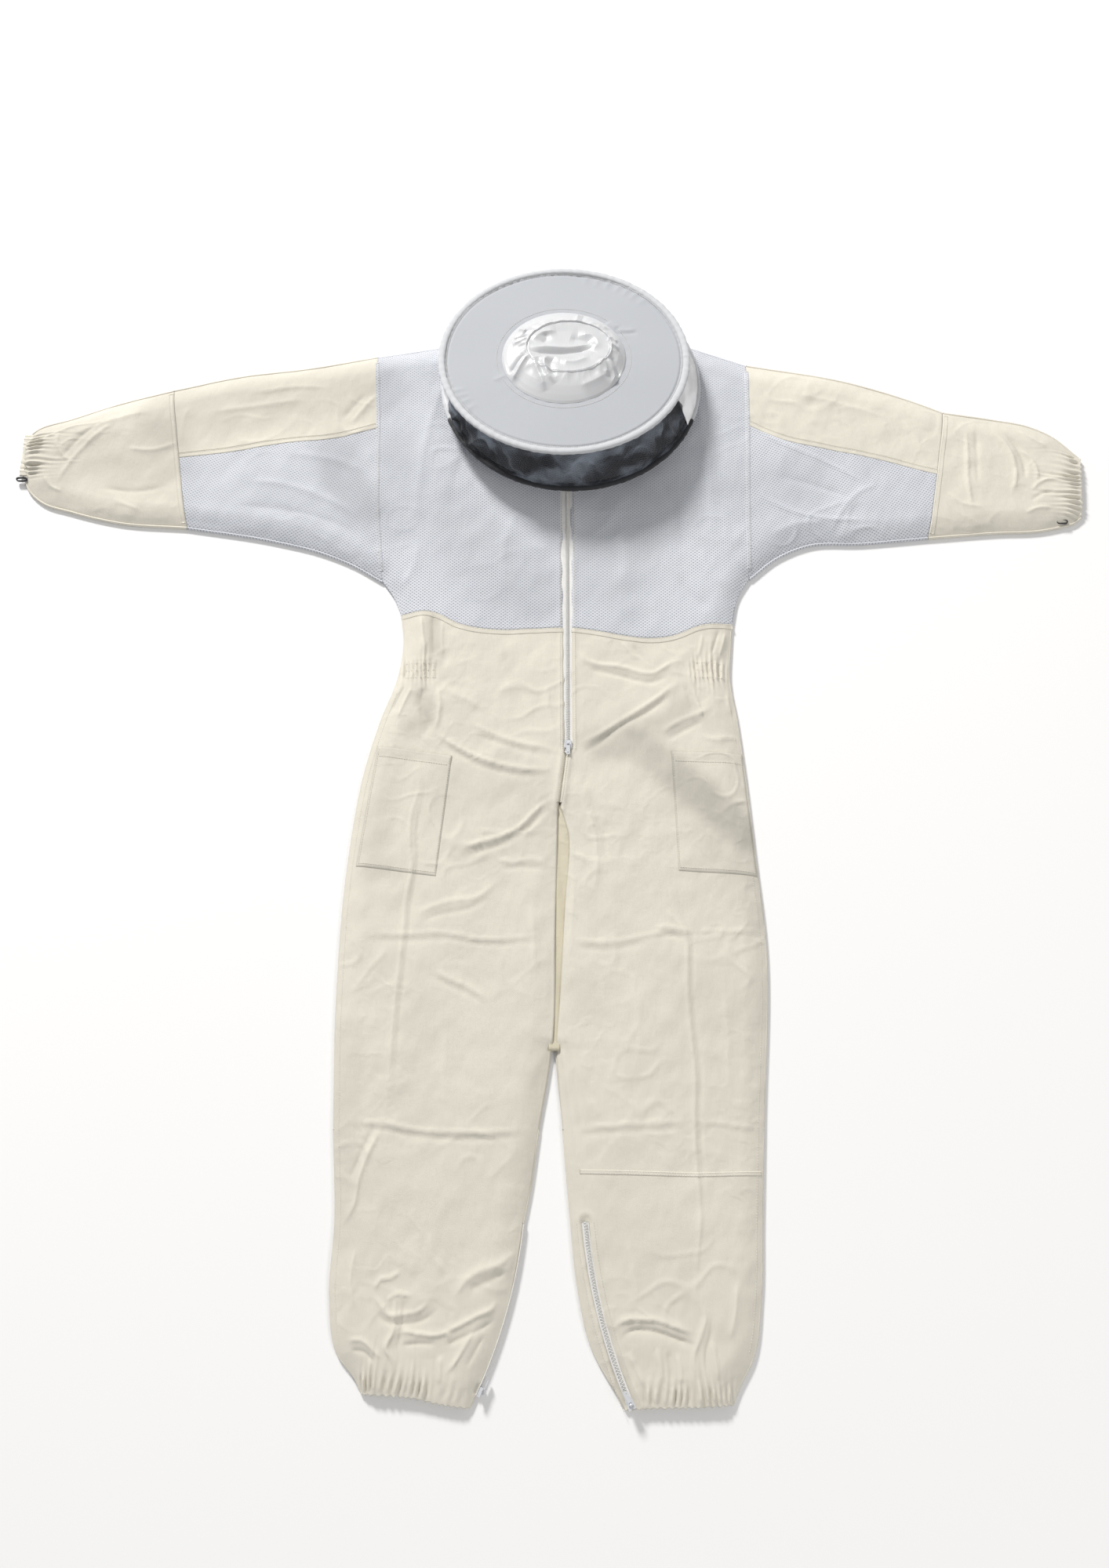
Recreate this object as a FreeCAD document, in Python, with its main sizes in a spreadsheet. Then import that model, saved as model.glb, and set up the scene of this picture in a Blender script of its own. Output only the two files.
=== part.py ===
"""A beekeeping coverall with a wide-brimmed hat and ringed veil, laid flat on its back, front upwards.

X runs from the wearer's right arm to the left arm, Y from the feet to the head, Z up from the ground.
Right and left are the wearer's. Lengths are in millimetres.
"""
import FreeCAD, Part
import math
import os
from FreeCAD import Placement, Rotation, Vector

SIZES = {
    # cloth, laid as a back layer and a front layer with seam walls between them
    "cloth_thickness": 2,
    "back_level": 0,
    "seam_level": 2,
    "seam_height": 12,
    "front_level": 14,
    "seam_width": 3,
    "fold_gap": 0.6,
    # where the garment folds, elbow and knee
    "knee_line": -510,
    # zip chains
    "zip_line": 20,
    "zip_bottom": 31,
    "zip_length": 532,
    "tape_level": 12.4,
    "tape_thickness": 1.2,
    "tape_width": 13.9,
    "teeth_width": 6,
    "teeth_height": 2.8,
    "slot_width": 12,
    "stop_length": 2.5,
    # zip sliders and pulls
    "slider_length": 12,
    "slider_width": 10,
    "slider_height": 4.6,
    "running_gap": 0.4,
    "bail_radius": 2.2,
    "bail_width": 2.4,
    "pivot_height": 6,
    "pivot_radius": 0.7,
    "pivot_hole_radius": 1.1,
    "pull_length": 17,
    "pull_width": 6,
    "pull_thickness": 1.2,
    "pull_hole_radius": 0.9,
    "slider_start": 44,
    "top_slider_start": 546,
    # ankle zips, each on an arc in plan
    "left_ankle_radius": 677,
    "right_ankle_radius": 628,
    "ankle_zip_angle": 20,
    "ankle_tape_half_width": 9,
    # elastics
    "waist_band_length": 46,
    "waist_band_width": 26,
    "waist_band_thickness": 1.4,
    "cuff_length": 15,
    "cuff_height": 16,
    "cuff_wall": 2,
    "right_wrist_width": 80,
    "left_wrist_width": 112,
    "right_ankle_width": 138,
    "left_ankle_width": 116,
    "loop_length": 18,
    "loop_depth": 7,
    "loop_height": 8,
    "loop_wall": 1.2,
    # pockets
    "pocket_level": 16,
    "pocket_wall_height": 5,
    "pocket_depth": 6.5,
    # collar
    "neck_x": 19,
    "neck_y": 655,
    "neck_radius": 86,
    "collar_level": 16,
    "collar_height": 6,
    "collar_thickness": 2.5,
    "collar_tape_level": 22.2,
    "collar_tape_height": 12,
    # veil skirt and its wire hoop
    "skirt_thickness": 1.2,
    "skirt_level": 34.5,
    "skirt_shoulder_level": 41,
    "skirt_shoulder_radius": 106,
    "skirt_edge_radius": 200,
    "hoop_radius": 205.5,
    "hoop_x": 26,
    "hoop_y": 655,
    "hoop_level": 34,
    "hoop_tilt": 6,
    "wire_radius": 1.8,
    "wire_hole_radius": 2,
    "binding_radius": 4,
    "veil_thickness": 1.2,
    "veil_radius": 205,
    # hat
    "hat_x": 15,
    "hat_y": 682,
    "hat_level": 65,
    "hat_tilt": 10,
    "brim_ring_radius": 197.5,
    "brim_radius": 193,
    "brim_thickness": 1.6,
    "crown_radius": 105,
    "crown_wall": 1.6,
    "crown_band_radius": 102.5,
    "crown_band_height": 16,
    "crown_height": 30,
    "crown_half_length": 76,
    "crown_half_width": 62,
    "sweatband_radius": 98,
    "sweatband_thickness": 1.6,
    "sweatband_height": 14,
}

os.makedirs("parts", exist_ok=True)
doc = FreeCAD.newDocument("BeekeepingSuit")
sheet = doc.addObject("Spreadsheet::Sheet", "Sizes")
for row, (alias, value) in enumerate(SIZES.items(), start=1):
    sheet.set(f"A{row}", alias)
    sheet.set(f"B{row}", str(value))
    sheet.setAlias(f"B{row}", alias)
doc.recompute()

UP = Vector(0, 0, 1)
nodes = {}


def size(alias):
    """The value of one cell of the sheet."""
    return float(sheet.get(alias))


def bind(thing, **cells):
    """Ties properties of an object to formulas on the sheet's cells."""
    for prop, formula in cells.items():
        for alias in sorted(SIZES, key=len, reverse=True):
            formula = formula.replace("#" + alias, "Sizes." + alias)
        thing.setExpression(prop, formula)
    return thing


def keep(name, thing):
    """Makes an object one of the suit's named pieces."""
    thing.Label = name
    nodes[name] = thing
    return thing


# ---------------------------------------------------------------- outlines in plan

def straight(*points):
    """Line segments through the points."""
    return [Part.LineSegment(Vector(*p, 0), Vector(*q, 0)) for p, q in zip(points, points[1:])]


def curve(*points):
    """One smooth curve through the points."""
    spline = Part.BSplineCurve()
    spline.interpolate([Vector(*p, 0) for p in points])
    return [spline]


def bow(*points):
    """A circular arc through three points."""
    return [Part.Arc(*(Vector(*p, 0) for p in points))]


def arc(centre, radius, first, last):
    """A circular arc between two angles, in degrees."""
    return bow(*(point_on(centre, radius, angle) for angle in (first, (first + last) / 2, last)))


def point_on(centre, radius, angle):
    turn = math.radians(angle)
    return (centre[0] + radius * math.cos(turn), centre[1] + radius * math.sin(turn))


def shifted(points, distance):
    """The points moved sideways, to the left of the way they run."""
    last = len(points) - 1
    moved = []
    for i, (x, y) in enumerate(points):
        before, after = points[max(i - 1, 0)], points[min(i + 1, last)]
        run = math.hypot(after[0] - before[0], after[1] - before[1])
        moved.append((x - distance * (after[1] - before[1]) / run,
                      y + distance * (after[0] - before[0]) / run))
    return moved


def pad(name, outline, level, height):
    """A flat piece: its outline padded upwards from a level. Level and height are formulas."""
    body = doc.addObject("PartDesign::Body", name)
    sketch = body.newObject("Sketcher::SketchObject", name + "_outline")
    plane = next(f for f in body.Origin.OriginFeatures if f.Role == "XY_Plane")
    sketch.AttachmentSupport = (plane, [""])
    sketch.MapMode = "FlatFace"
    for edge in outline:
        sketch.addGeometry(edge, False)
    thickness = body.newObject("PartDesign::Pad", name + "_pad")
    thickness.Profile = sketch
    bind(thickness, Length=height)
    bind(body, **{"Placement.Base.z": level})
    return body


def back_cloth(name, outline):
    return keep(name, pad(name, outline, "#back_level", "#cloth_thickness"))


def front_cloth(name, outline):
    return keep(name, pad(name, outline, "#front_level", "#cloth_thickness"))


def seam(name, points, side):
    """A seam wall that joins the two layers along an edge. Side 1 is left of the way the points run."""
    inner = shifted(points, side * size("seam_width"))
    draw = curve if len(points) > 2 else straight
    outline = draw(*points) + draw(*inner) + straight(points[0], inner[0]) + straight(points[-1], inner[-1])
    return pad(name, outline, "#seam_level", "#seam_height")


def group(name, members):
    """Several like pieces in one node."""
    compound = doc.addObject("Part::Compound", name)
    compound.Links = members
    return keep(name, compound)


# ---------------------------------------------------------------- solids

def box(name, length, width, height, centre=(0, 0), level=0):
    """A block centred on a point in plan and standing on a level. Its three sizes are formulas."""
    block = bind(doc.addObject("Part::Box", name), Length=length, Width=width, Height=height)
    doc.recompute()
    low = Vector(centre[0] - block.Length.Value / 2, centre[1] - block.Width.Value / 2, level)
    block.Placement = Placement(low, Rotation())
    return block


def cylinder(name, radius, height, place=Placement()):
    rod = bind(doc.addObject("Part::Cylinder", name), Radius=radius, Height=height)
    rod.Placement = place
    return rod


def cut(name, base, tool):
    hole = doc.addObject("Part::Cut", name)
    hole.Base = base
    hole.Tool = tool
    return hole


def fuse(name, members):
    joined = doc.addObject("Part::MultiFuse", name)
    joined.Shapes = members
    return joined


def shell(name, outer, inner, height, place=Placement()):
    """A round wall between two radii. Its sizes are formulas."""
    return cut(name, cylinder(name + "_outside", outer, height, place),
               cylinder(name + "_inside", inner, height, place))


def torus(name, ring, tube, place):
    tyre = bind(doc.addObject("Part::Torus", name), Radius1=ring, Radius2=tube)
    tyre.Placement = place
    return tyre


def circle(name, radius, place):
    loop = bind(doc.addObject("Part::Circle", name), Radius=radius)
    loop.Placement = place
    return loop


def loft(name, sections):
    solid = doc.addObject("Part::Loft", name)
    solid.Sections = sections
    solid.Solid = True
    solid.Ruled = True
    return solid


def frame(origin, along, up):
    """A placement whose Y runs along and whose Z points up."""
    side = along.cross(up)
    return Placement(FreeCAD.Matrix(side.x, along.x, up.x, origin.x,
                                    side.y, along.y, up.y, origin.y,
                                    side.z, along.z, up.z, origin.z,
                                    0, 0, 0, 1))


def lifted(place, height):
    return place.multiply(Placement(Vector(0, 0, height), Rotation()))


# ---------------------------------------------------------------- outlines of the garment

ZIP = size("zip_line")
HALF_SLOT = size("slot_width") / 2
GAP = size("fold_gap")
KNEE = size("knee_line")
NECK = (size("neck_x"), size("neck_y"))
NECK_RADIUS = size("neck_radius") + 1

SIDE = {"right": [(-268, 318), (-249, 290), (-236, 259), (-231, 212), (-237, 159), (-262, 83),
                  (-281, 9), (-300, -135), (-307, -330), (-302, KNEE)],
        "left": [(303, 322), (284, 290), (273, 243), (269, 200), (266, 160), (275, 83),
                 (282, 9), (292, -125), (301, -250), (286, KNEE)]}
CHEST_POINT = 2
CHEST_SEAM = {"right": [(-236, 259), (-190, 261), (-146, 240), (ZIP - HALF_SLOT, 233)],
              "left": [(273, 243), (221, 236), (187, 222), (ZIP + HALF_SLOT, 233)]}
CROTCH = (7, -52)
INSIDE_LEG = {"right": [(5, -54), (-4, -405), (-21, KNEE)],
              "left": [(9, -54), (0, -405), (11, KNEE)]}
ARMHOLE = {"right": [(-291, 724), (-284, 594), (-268, 318)],
           "left": [(315, 708), (312, 600), (303, 322)]}
SHOULDER = {"right": (-190, 742), "left": (225, 742)}
OVERARM = {"right": [(-291, 724), (-408, 701), (-510, 687), (-622, 660)],
           "left": [(315, 708), (491, 672), (590, 636), (631, 618)]}
UNDERARM = {"right": [(-268, 318), (-314, 346), (-365, 368), (-440, 388), (-580, 412)],
            "left": [(303, 322), (347, 358), (397, 380), (480, 384), (588, 394)]}
SLEEVE_SEAM = {"right": [(-284, 594), (-349, 574), (-428, 566), (-512, 550), (-601, 538)],
               "left": [(312, 600), (372, 570), (442, 552), (501, 540), (610, 507)]}
FOREARM_TOP = {"right": [(-622, 660), (-709, 634), (-782, 606), (-840, 580)],
               "left": [(631, 618), (714, 604), (764, 593), (804, 572), (829, 538)]}
FOREARM_UNDER = {"right": [(-580, 412), (-689, 421), (-765, 440), (-813, 453), (-840, 502)],
                 "left": [(588, 394), (695, 403), (768, 407), (790, 425), (817, 427)]}
SHIN_OUTER = {"right": [(-302, KNEE), (-294, -632), (-296, -725), (-282, -795), (-254, -821)],
              "left": [(286, KNEE), (278, -632), (272, -725), (258, -800), (229, -838)]}
SHIN_INNER = {"right": [(-21, KNEE), (-33, -592), (-41, -632)],
              "left": [(11, KNEE), (21, -625), (30, -710), (48, -786), (86, -860)]}
HEM = {"right": [], "left": [(112, -839), (112, -858)]}
ANKLE_CENTRE = {"right": (-665.8, -567.3), "left": (715.9, -577)}
ANKLE_TOP_ANGLE = {"right": -5.9, "left": 184.5}
ANKLE_TURN = {"right": -1, "left": 1}
OUT = {"right": -1, "left": 1}


def fold_shift(points, distance):
    """The points moved along X, to leave room at a fold."""
    return [(x + distance, y) for x, y in points]


# ---------------------------------------------------------------- body of the coverall

def trunk_and_legs():
    walls = []
    for name, out in OUT.items():
        side, chest = SIDE[name], CHEST_SEAM[name]
        thigh = [(x, y + GAP if y == KNEE else y) for x, y in side]
        inside = [(x, y + GAP if y == KNEE else y) for x, y in INSIDE_LEG[name]]
        slot_edge = ZIP + out * HALF_SLOT
        centre = CROTCH[0] + out
        legs = straight((centre, CROTCH[1]), *inside, thigh[-1]) + curve(*thigh[CHEST_POINT:])
        front_cloth("front_trouser_" + name, straight(*chest) + legs + straight(
            chest[-1], (slot_edge, size("zip_bottom")), (ZIP + out, size("zip_bottom")), (centre, CROTCH[1])))
        back_cloth("back_trouser_" + name, legs + straight(
            side[CHEST_POINT], (ZIP + out, 246), (ZIP + out, size("zip_bottom")), (centre, CROTCH[1])))
        top_angle = 90 - out * 10
        slot_angle = 270 + out * math.degrees(math.asin((HALF_SLOT + out * (ZIP - NECK[0])) / NECK_RADIUS))
        neck_side = point_on(NECK, NECK_RADIUS, top_angle)
        neck_front = point_on(NECK, NECK_RADIUS, slot_angle)
        turn_end = slot_angle if out < 0 else slot_angle - 360
        front_cloth("front_mesh_" + name,
                    straight(ARMHOLE[name][2], ARMHOLE[name][0], SHOULDER[name], neck_side)
                    + arc(NECK, NECK_RADIUS, top_angle, turn_end)
                    + straight(neck_front, chest[-1]) + straight(*chest)
                    + curve(*side[:CHEST_POINT + 1]))
        walls.append(seam("side_seam_" + name, thigh, -out))
        walls.append(seam("inside_leg_seam_" + name, inside[:2], out))
        walls.append(seam("knee_inside_seam_" + name, inside[1:], out))
    back_cloth("back_mesh", curve(*SIDE["right"][:CHEST_POINT + 1]) + curve(*SIDE["left"][:CHEST_POINT + 1])
               + straight(SIDE["right"][CHEST_POINT], (ZIP, 246.5), SIDE["left"][CHEST_POINT])
               + straight(ARMHOLE["right"][2], ARMHOLE["right"][0], SHOULDER["right"], (-60, 748))
               + bow((-60, 748), (NECK[0], 732), (98, 748))
               + straight((98, 748), SHOULDER["left"], ARMHOLE["left"][0], ARMHOLE["left"][2]))
    return walls


def sleeves():
    walls = []
    for name, out in OUT.items():
        over, under, middle = OVERARM[name], UNDERARM[name], SLEEVE_SEAM[name]
        elbow_top = (over[-1][0] - out * GAP, over[-1][1])
        elbow_low = (under[-1][0] - out * GAP, under[-1][1])
        elbow_middle = (middle[-1][0] - out * GAP, middle[-1][1])
        over = over[:-1] + [elbow_top]
        under = under[:-1] + [elbow_low]
        middle = middle[:-1] + [elbow_middle]
        armhole = ARMHOLE[name]
        front_cloth("sleeve_top_" + name, curve(*over) + straight(elbow_top, *reversed(middle))
                    + straight(armhole[1], armhole[0]))
        front_cloth("sleeve_under_" + name, curve(*under) + straight(elbow_low, *reversed(middle))
                    + straight(armhole[1], armhole[2]))
        back_cloth("sleeve_back_" + name, curve(*over) + curve(*under) + straight(elbow_top, elbow_low)
                   + straight(armhole[0], armhole[2]))
        walls.append(seam("overarm_seam_" + name, over, -out))
        walls.append(seam("underarm_seam_" + name, under, out))
    return walls


def forearms():
    """The canvas forearms, which fold over the upper sleeves at the elbow seam."""
    for name, out in OUT.items():
        top = [(FOREARM_TOP[name][0][0] + out * GAP, FOREARM_TOP[name][0][1])] + FOREARM_TOP[name][1:]
        under = [(FOREARM_UNDER[name][0][0] + out * GAP, FOREARM_UNDER[name][0][1])] + FOREARM_UNDER[name][1:]
        outline = curve(*top) + curve(*under) + straight(top[0], under[0]) + straight(top[-1], under[-1])
        front_cloth("forearm_front_" + name, outline)
        back_cloth("forearm_back_" + name, outline)
        group("forearm_seams_" + name, [seam("forearm_over_seam_" + name, top, -out),
                                        seam("forearm_under_seam_" + name, under, out)])


def ankle_arc(name, first=0.0, last=1.0, offset=0.0):
    """The arc of an ankle zip, from its top, 0, to the hem, 1, moved outwards from its centre."""
    start, sweep = ANKLE_TOP_ANGLE[name], ANKLE_TURN[name] * size("ankle_zip_angle")
    radius = size(name + "_ankle_radius") + offset
    return ANKLE_CENTRE[name], radius, start + first * sweep, start + last * sweep


def shins():
    """The lower legs, which fold up over the thighs along the knee crease."""
    for name, out in OUT.items():
        outer = [(x, y - GAP if y == KNEE else y) for x, y in SHIN_OUTER[name]]
        inner = [(x, y - GAP if y == KNEE else y) for x, y in SHIN_INNER[name]]
        edge = curve(*inner)
        hem = inner[-1]
        if name == "right":
            inner[-1] = point_on(*ankle_arc(name)[:3])
            edge = curve(*inner) + arc(*ankle_arc(name))
            hem = point_on(*ankle_arc(name)[:2], ankle_arc(name)[3])
        outline = curve(*outer) + edge + straight(outer[0], inner[0]) + straight(outer[-1], *HEM[name], hem)
        back_cloth("shin_back_" + name, outline)
        if name == "right":
            front_cloth("shin_front_right", outline)
        else:
            whole = pad("shin_front_whole", outline, "#front_level", "#cloth_thickness")
            slot = arc_band("ankle_slot", name, -0.03, 1.1, size("slot_width") / 2,
                            "#front_level - 1", "#cloth_thickness + 2")
            keep("shin_front_left", cut("shin_front_cut", whole, slot))
        group("shin_seams_" + name, [seam("shin_outer_seam_" + name, outer, -out),
                                     seam("shin_inner_seam_" + name, inner, out)])


# ---------------------------------------------------------------- zips

def arc_band(label, name, first, last, half_width, level, height):
    """A strip along an ankle zip's arc, as wide on one side of it as on the other."""
    centre, outer, start, end = ankle_arc(name, first, last, half_width)
    inner = outer - 2 * half_width
    outline = arc(centre, outer, start, end) + arc(centre, inner, start, end)
    outline += straight(point_on(centre, outer, start), point_on(centre, inner, start))
    outline += straight(point_on(centre, outer, end), point_on(centre, inner, end))
    return pad(label, outline, level, height)


def ankle_frame(name, share):
    """The placement of a slider on an ankle zip: Y runs up the leg, Z away from the tape."""
    centre, radius, angle, _ = ankle_arc(name, share)
    turn = math.radians(angle)
    outwards = Vector(math.cos(turn), math.sin(turn), 0)
    upwards = Vector(math.sin(turn), -math.cos(turn), 0) * ANKLE_TURN[name]
    point = Vector(*centre, 0) + outwards * radius
    if name == "left":
        return frame(point + UP * (size("tape_level") + size("tape_thickness")), upwards, UP)
    middle = size("seam_level") + size("seam_height") / 2
    return frame(point + outwards * size("tape_thickness") / 2 + UP * middle, upwards, outwards)


def front_zip():
    length = size("zip_length")
    middle = size("zip_bottom") + length / 2
    tape_top = size("tape_level") + size("tape_thickness")
    half = size("tape_width") / 2 + 0.1
    members = [box("front_tape_right", "#tape_width", "#zip_length", "#tape_thickness",
                   (ZIP - half, middle), size("tape_level")),
               box("front_tape_left", "#tape_width", "#zip_length", "#tape_thickness",
                   (ZIP + half, middle), size("tape_level")),
               box("front_teeth", "#teeth_width", "#zip_length - 2 * #stop_length", "#teeth_height",
                   (ZIP, middle), tape_top)]
    for name, way in (("bottom_stop", -1), ("top_stop", 1)):
        place = (ZIP, middle + way * (length / 2 - size("stop_length") / 2 + 0.05))
        members.append(box(name, "#teeth_width + 2", "#stop_length - 0.2", "#teeth_height", place, tape_top))
    group("front_zip_chain", members)


def ankle_zips():
    group("ankle_zip_chain_left", [
        arc_band("left_ankle_tape", "left", 0, 1, size("ankle_tape_half_width"),
                 "#tape_level", "#tape_thickness"),
        arc_band("left_ankle_teeth", "left", 0, 1, size("teeth_width") / 2,
                 "#tape_level + #tape_thickness", "#teeth_height")])
    tape = size("tape_thickness")
    teeth = size("teeth_height")
    centre, radius, start, end = ankle_arc("right")
    bands = []
    for label, low, high, level, height in (
            ("right_ankle_tape", -tape / 2, tape / 2, "#seam_level", "#seam_height"),
            ("right_ankle_teeth", tape / 2, tape / 2 + teeth,
             "#seam_level + (#seam_height - #teeth_width) / 2", "#teeth_width")):
        low, high = radius + low, radius + high
        outline = arc(centre, low, start, end) + arc(centre, high, start, end)
        outline += straight(point_on(centre, low, start), point_on(centre, high, start))
        outline += straight(point_on(centre, low, end), point_on(centre, high, end))
        bands.append(pad(label, outline, level, height))
    group("ankle_zip_chain_right", bands)


def slider(name, place):
    """A zip slider: a block astride the teeth, with a bail on top that holds the pull's pivot."""
    gap = size("running_gap")
    block = box(name + "_block", "#slider_width", "#slider_length", "#slider_height - #running_gap",
                level=gap)
    groove = box(name + "_groove", "#teeth_width + 2 * #running_gap", "#slider_length + 2",
                 "#teeth_height + 2 * #running_gap")
    across = Rotation(UP, Vector(1, 0, 0))
    start = Vector(-size("bail_width") / 2, 0, size("pivot_height"))
    bail = cylinder(name + "_bail", "#bail_radius", "#bail_width", Placement(start, across))
    body = fuse(name + "_solid", [cut(name + "_channel", block, groove), bail])
    eye = cylinder(name + "_eye", "#pivot_hole_radius", "#bail_width + 2",
                   Placement(start - Vector(1, 0, 0), across))
    body = cut(name + "_drilled", body, eye)
    body.Placement = place
    return keep(name, body)


def pull(name, place):
    """A pull tab: two arms and a pivot round the slider's bail, lying back along -Y."""
    level = size("pivot_height") - size("pull_thickness") / 2
    length = size("pull_length")
    tab = box(name + "_tab", "#pull_width", "#pull_length", "#pull_thickness", (0, -length / 2), level)
    window = box(name + "_window", "#bail_width + 1.2", "#bail_radius + 3", "#pull_thickness + 2",
                 (0, -0.3), level - 1)
    hole = cylinder(name + "_hole", "#pull_hole_radius", "#pull_thickness + 2",
                    Placement(Vector(0, -length + 3, level - 1), Rotation()))
    across = Rotation(UP, Vector(1, 0, 0))
    start = Vector(-size("pull_width") / 2, 0, size("pivot_height"))
    pivot = cylinder(name + "_pivot", "#pivot_radius", "#pull_width", Placement(start, across))
    plate = cut(name + "_plate", cut(name + "_frame", tab, window), hole)
    body = fuse(name + "_solid", [plate, pivot])
    body.Placement = place
    return keep(name, body)


def sliders():
    tape_top = size("tape_level") + size("tape_thickness")
    head = Vector(0, 1, 0)
    lower = frame(Vector(ZIP, size("slider_start"), tape_top), head, UP)
    upper = frame(Vector(ZIP, size("top_slider_start"), tape_top), head, UP)
    slider("front_zip_slider", lower)
    pull("front_zip_pull", lower)
    slider("front_zip_top_slider", upper)
    pull("front_zip_top_pull", upper)
    share = 1 - math.degrees(size("slider_length") / 2 / 650) / size("ankle_zip_angle")
    for name in OUT:
        place = ankle_frame(name, share)
        slider("ankle_zip_slider_" + name, place)
        half_turn = Placement(Vector(), Rotation(UP, 180))
        pull("ankle_zip_pull_" + name, place.multiply(half_turn))
    turn = math.radians(300)
    outwards = Vector(math.cos(turn), math.sin(turn), 0)
    tangent = Vector(-math.sin(turn), math.cos(turn), 0)
    centre = Vector(*NECK, size("collar_tape_level") + size("collar_tape_height") / 2)
    round_neck = frame(centre + outwards * (size("neck_radius") + size("tape_thickness")), tangent, outwards)
    slider("collar_zip_slider", round_neck)
    pull("collar_zip_pull", round_neck)


# ---------------------------------------------------------------- elastics, loops and pockets

def waist_elastic():
    low = size("seam_level") + 0.2
    high = size("front_level") - size("waist_band_thickness") - 0.2
    members = []
    for name, x, y in (("right", -202, 163), ("left", 234, 163)):
        for layer, level in (("back", low), ("front", high)):
            members.append(box(f"waist_{layer}_{name}", "#waist_band_length", "#waist_band_width",
                               "#waist_band_thickness", (x, y), level))
    group("waist_elastic", members)


def elastic_ring(name, width, centre, direction):
    """A flattened elastic ring round a limb's end. The limb runs along the direction, in degrees."""
    limb = "#cuff_length"
    outside = box(name + "_outside", limb, width, "#cuff_height")
    inside = box(name + "_inside", limb + " + 2", width + " - 2 * #cuff_wall",
                 "#cuff_height - 2 * #cuff_wall", level=size("cuff_wall"))
    ring = cut(name + "_ring", outside, inside)
    ring.Placement = Placement(Vector(*centre, 0), Rotation(UP, direction))
    return keep(name, ring)


def thumb_loop(name, centre):
    """A narrow elastic loop at the cuff, standing on its edge."""
    level = (size("cuff_height") - size("loop_height")) / 2
    outside = box(name + "_outside", "#loop_length", "#loop_depth", "#loop_height", centre, level)
    inside = box(name + "_inside", "#loop_length - 2 * #loop_wall", "#loop_depth - 2 * #loop_wall",
                 "#loop_height + 2", centre, level - 1)
    return keep(name, cut(name + "_band", outside, inside))


def pockets():
    corners = {"right": [(-263, 43), (-287, -142), (-171, -157), (-152, 26)],
               "left": [(279, 31), (293, -156), (179, -149), (173, 33)]}
    width = size("seam_width")
    members = []
    for name, points in corners.items():
        bag = pad(f"pocket_{name}_bag", straight(*points, points[0]), "#pocket_level", "#pocket_depth")
        outer_top, outer_low, inner_low, inner_top = points
        inset = -width * OUT[name]
        space = [(outer_top[0] + inset, outer_top[1] + 5), (outer_low[0] + inset, outer_low[1] + width),
                 (inner_low[0] - inset, inner_low[1] + width), (inner_top[0] - inset, inner_top[1] + 5)]
        hollow = pad(f"pocket_{name}_space", straight(*space, space[0]), "#pocket_level - 1",
                     "#pocket_wall_height + 1")
        members.append(cut(f"pocket_{name}", bag, hollow))
    group("hip_pockets", members)


# ---------------------------------------------------------------- collar, veil and hat

def collar():
    place = Placement(Vector(*NECK, size("collar_level")), Rotation())
    keep("collar_band", shell("collar_wall", "#neck_radius + #collar_thickness", "#neck_radius",
                              "#collar_height", place))
    tape_place = Placement(Vector(*NECK, size("collar_tape_level")), Rotation())
    tape = shell("collar_tape", "#neck_radius + #tape_thickness", "#neck_radius", "#collar_tape_height",
                 tape_place)
    rise = (size("collar_tape_height") - size("teeth_width")) / 2
    teeth = shell("collar_teeth", "#neck_radius + #tape_thickness + #teeth_height",
                  "#neck_radius + #tape_thickness / 2", "#teeth_width", lifted(tape_place, rise))
    keep("collar_zip_chain", fuse("collar_zip", [tape, teeth]))


def hoop_frame():
    centre = Vector(size("hoop_x"), size("hoop_y"), size("hoop_level"))
    return Placement(centre, Rotation(Vector(1, 0, 0), -size("hoop_tilt")))


def hat_frame():
    centre = Vector(size("hat_x"), size("hat_y"), size("hat_level"))
    return Placement(centre, Rotation(Vector(1, 0, 0), -size("hat_tilt")))


def wired_edge(wire_name, binding_name, ring, place):
    """A spring wire in a stitched binding, which is a tube round it."""
    keep(wire_name, torus(wire_name, ring, "#wire_radius", place))
    tube = torus(binding_name + "_outside", ring, "#binding_radius", place)
    hole = torus(binding_name + "_inside", ring, "#wire_hole_radius", place)
    keep(binding_name, cut(binding_name + "_tube", tube, hole))


def veil_skirt():
    """The cloth from the collar zip out to the hoop: up over a shoulder ring, then out to the hoop."""
    centre = Vector(*NECK, 0)
    rings = [circle("skirt_neck", "#neck_radius + 1",
                    Placement(centre + UP * size("skirt_level"), Rotation())),
             circle("skirt_shoulder", "#skirt_shoulder_radius",
                    Placement(centre + UP * size("skirt_shoulder_level"), Rotation())),
             circle("skirt_edge", "#skirt_edge_radius", hoop_frame())]
    sheets = []
    for number, (low, high) in enumerate(zip(rings, rings[1:])):
        ruled = doc.addObject("Part::RuledSurface", f"skirt_surface_{number}")
        ruled.Curve1 = (low, ["Edge1"])
        ruled.Curve2 = (high, ["Edge1"])
        sheet_of_cloth = doc.addObject("Part::Extrusion", f"skirt_cloth_{number}")
        sheet_of_cloth.Base = ruled
        sheet_of_cloth.DirMode = "Custom"
        sheet_of_cloth.Dir = UP
        bind(sheet_of_cloth, LengthFwd="#skirt_thickness")
        sheets.append(sheet_of_cloth)
    keep("veil_skirt", fuse("skirt_solid", sheets))


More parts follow.
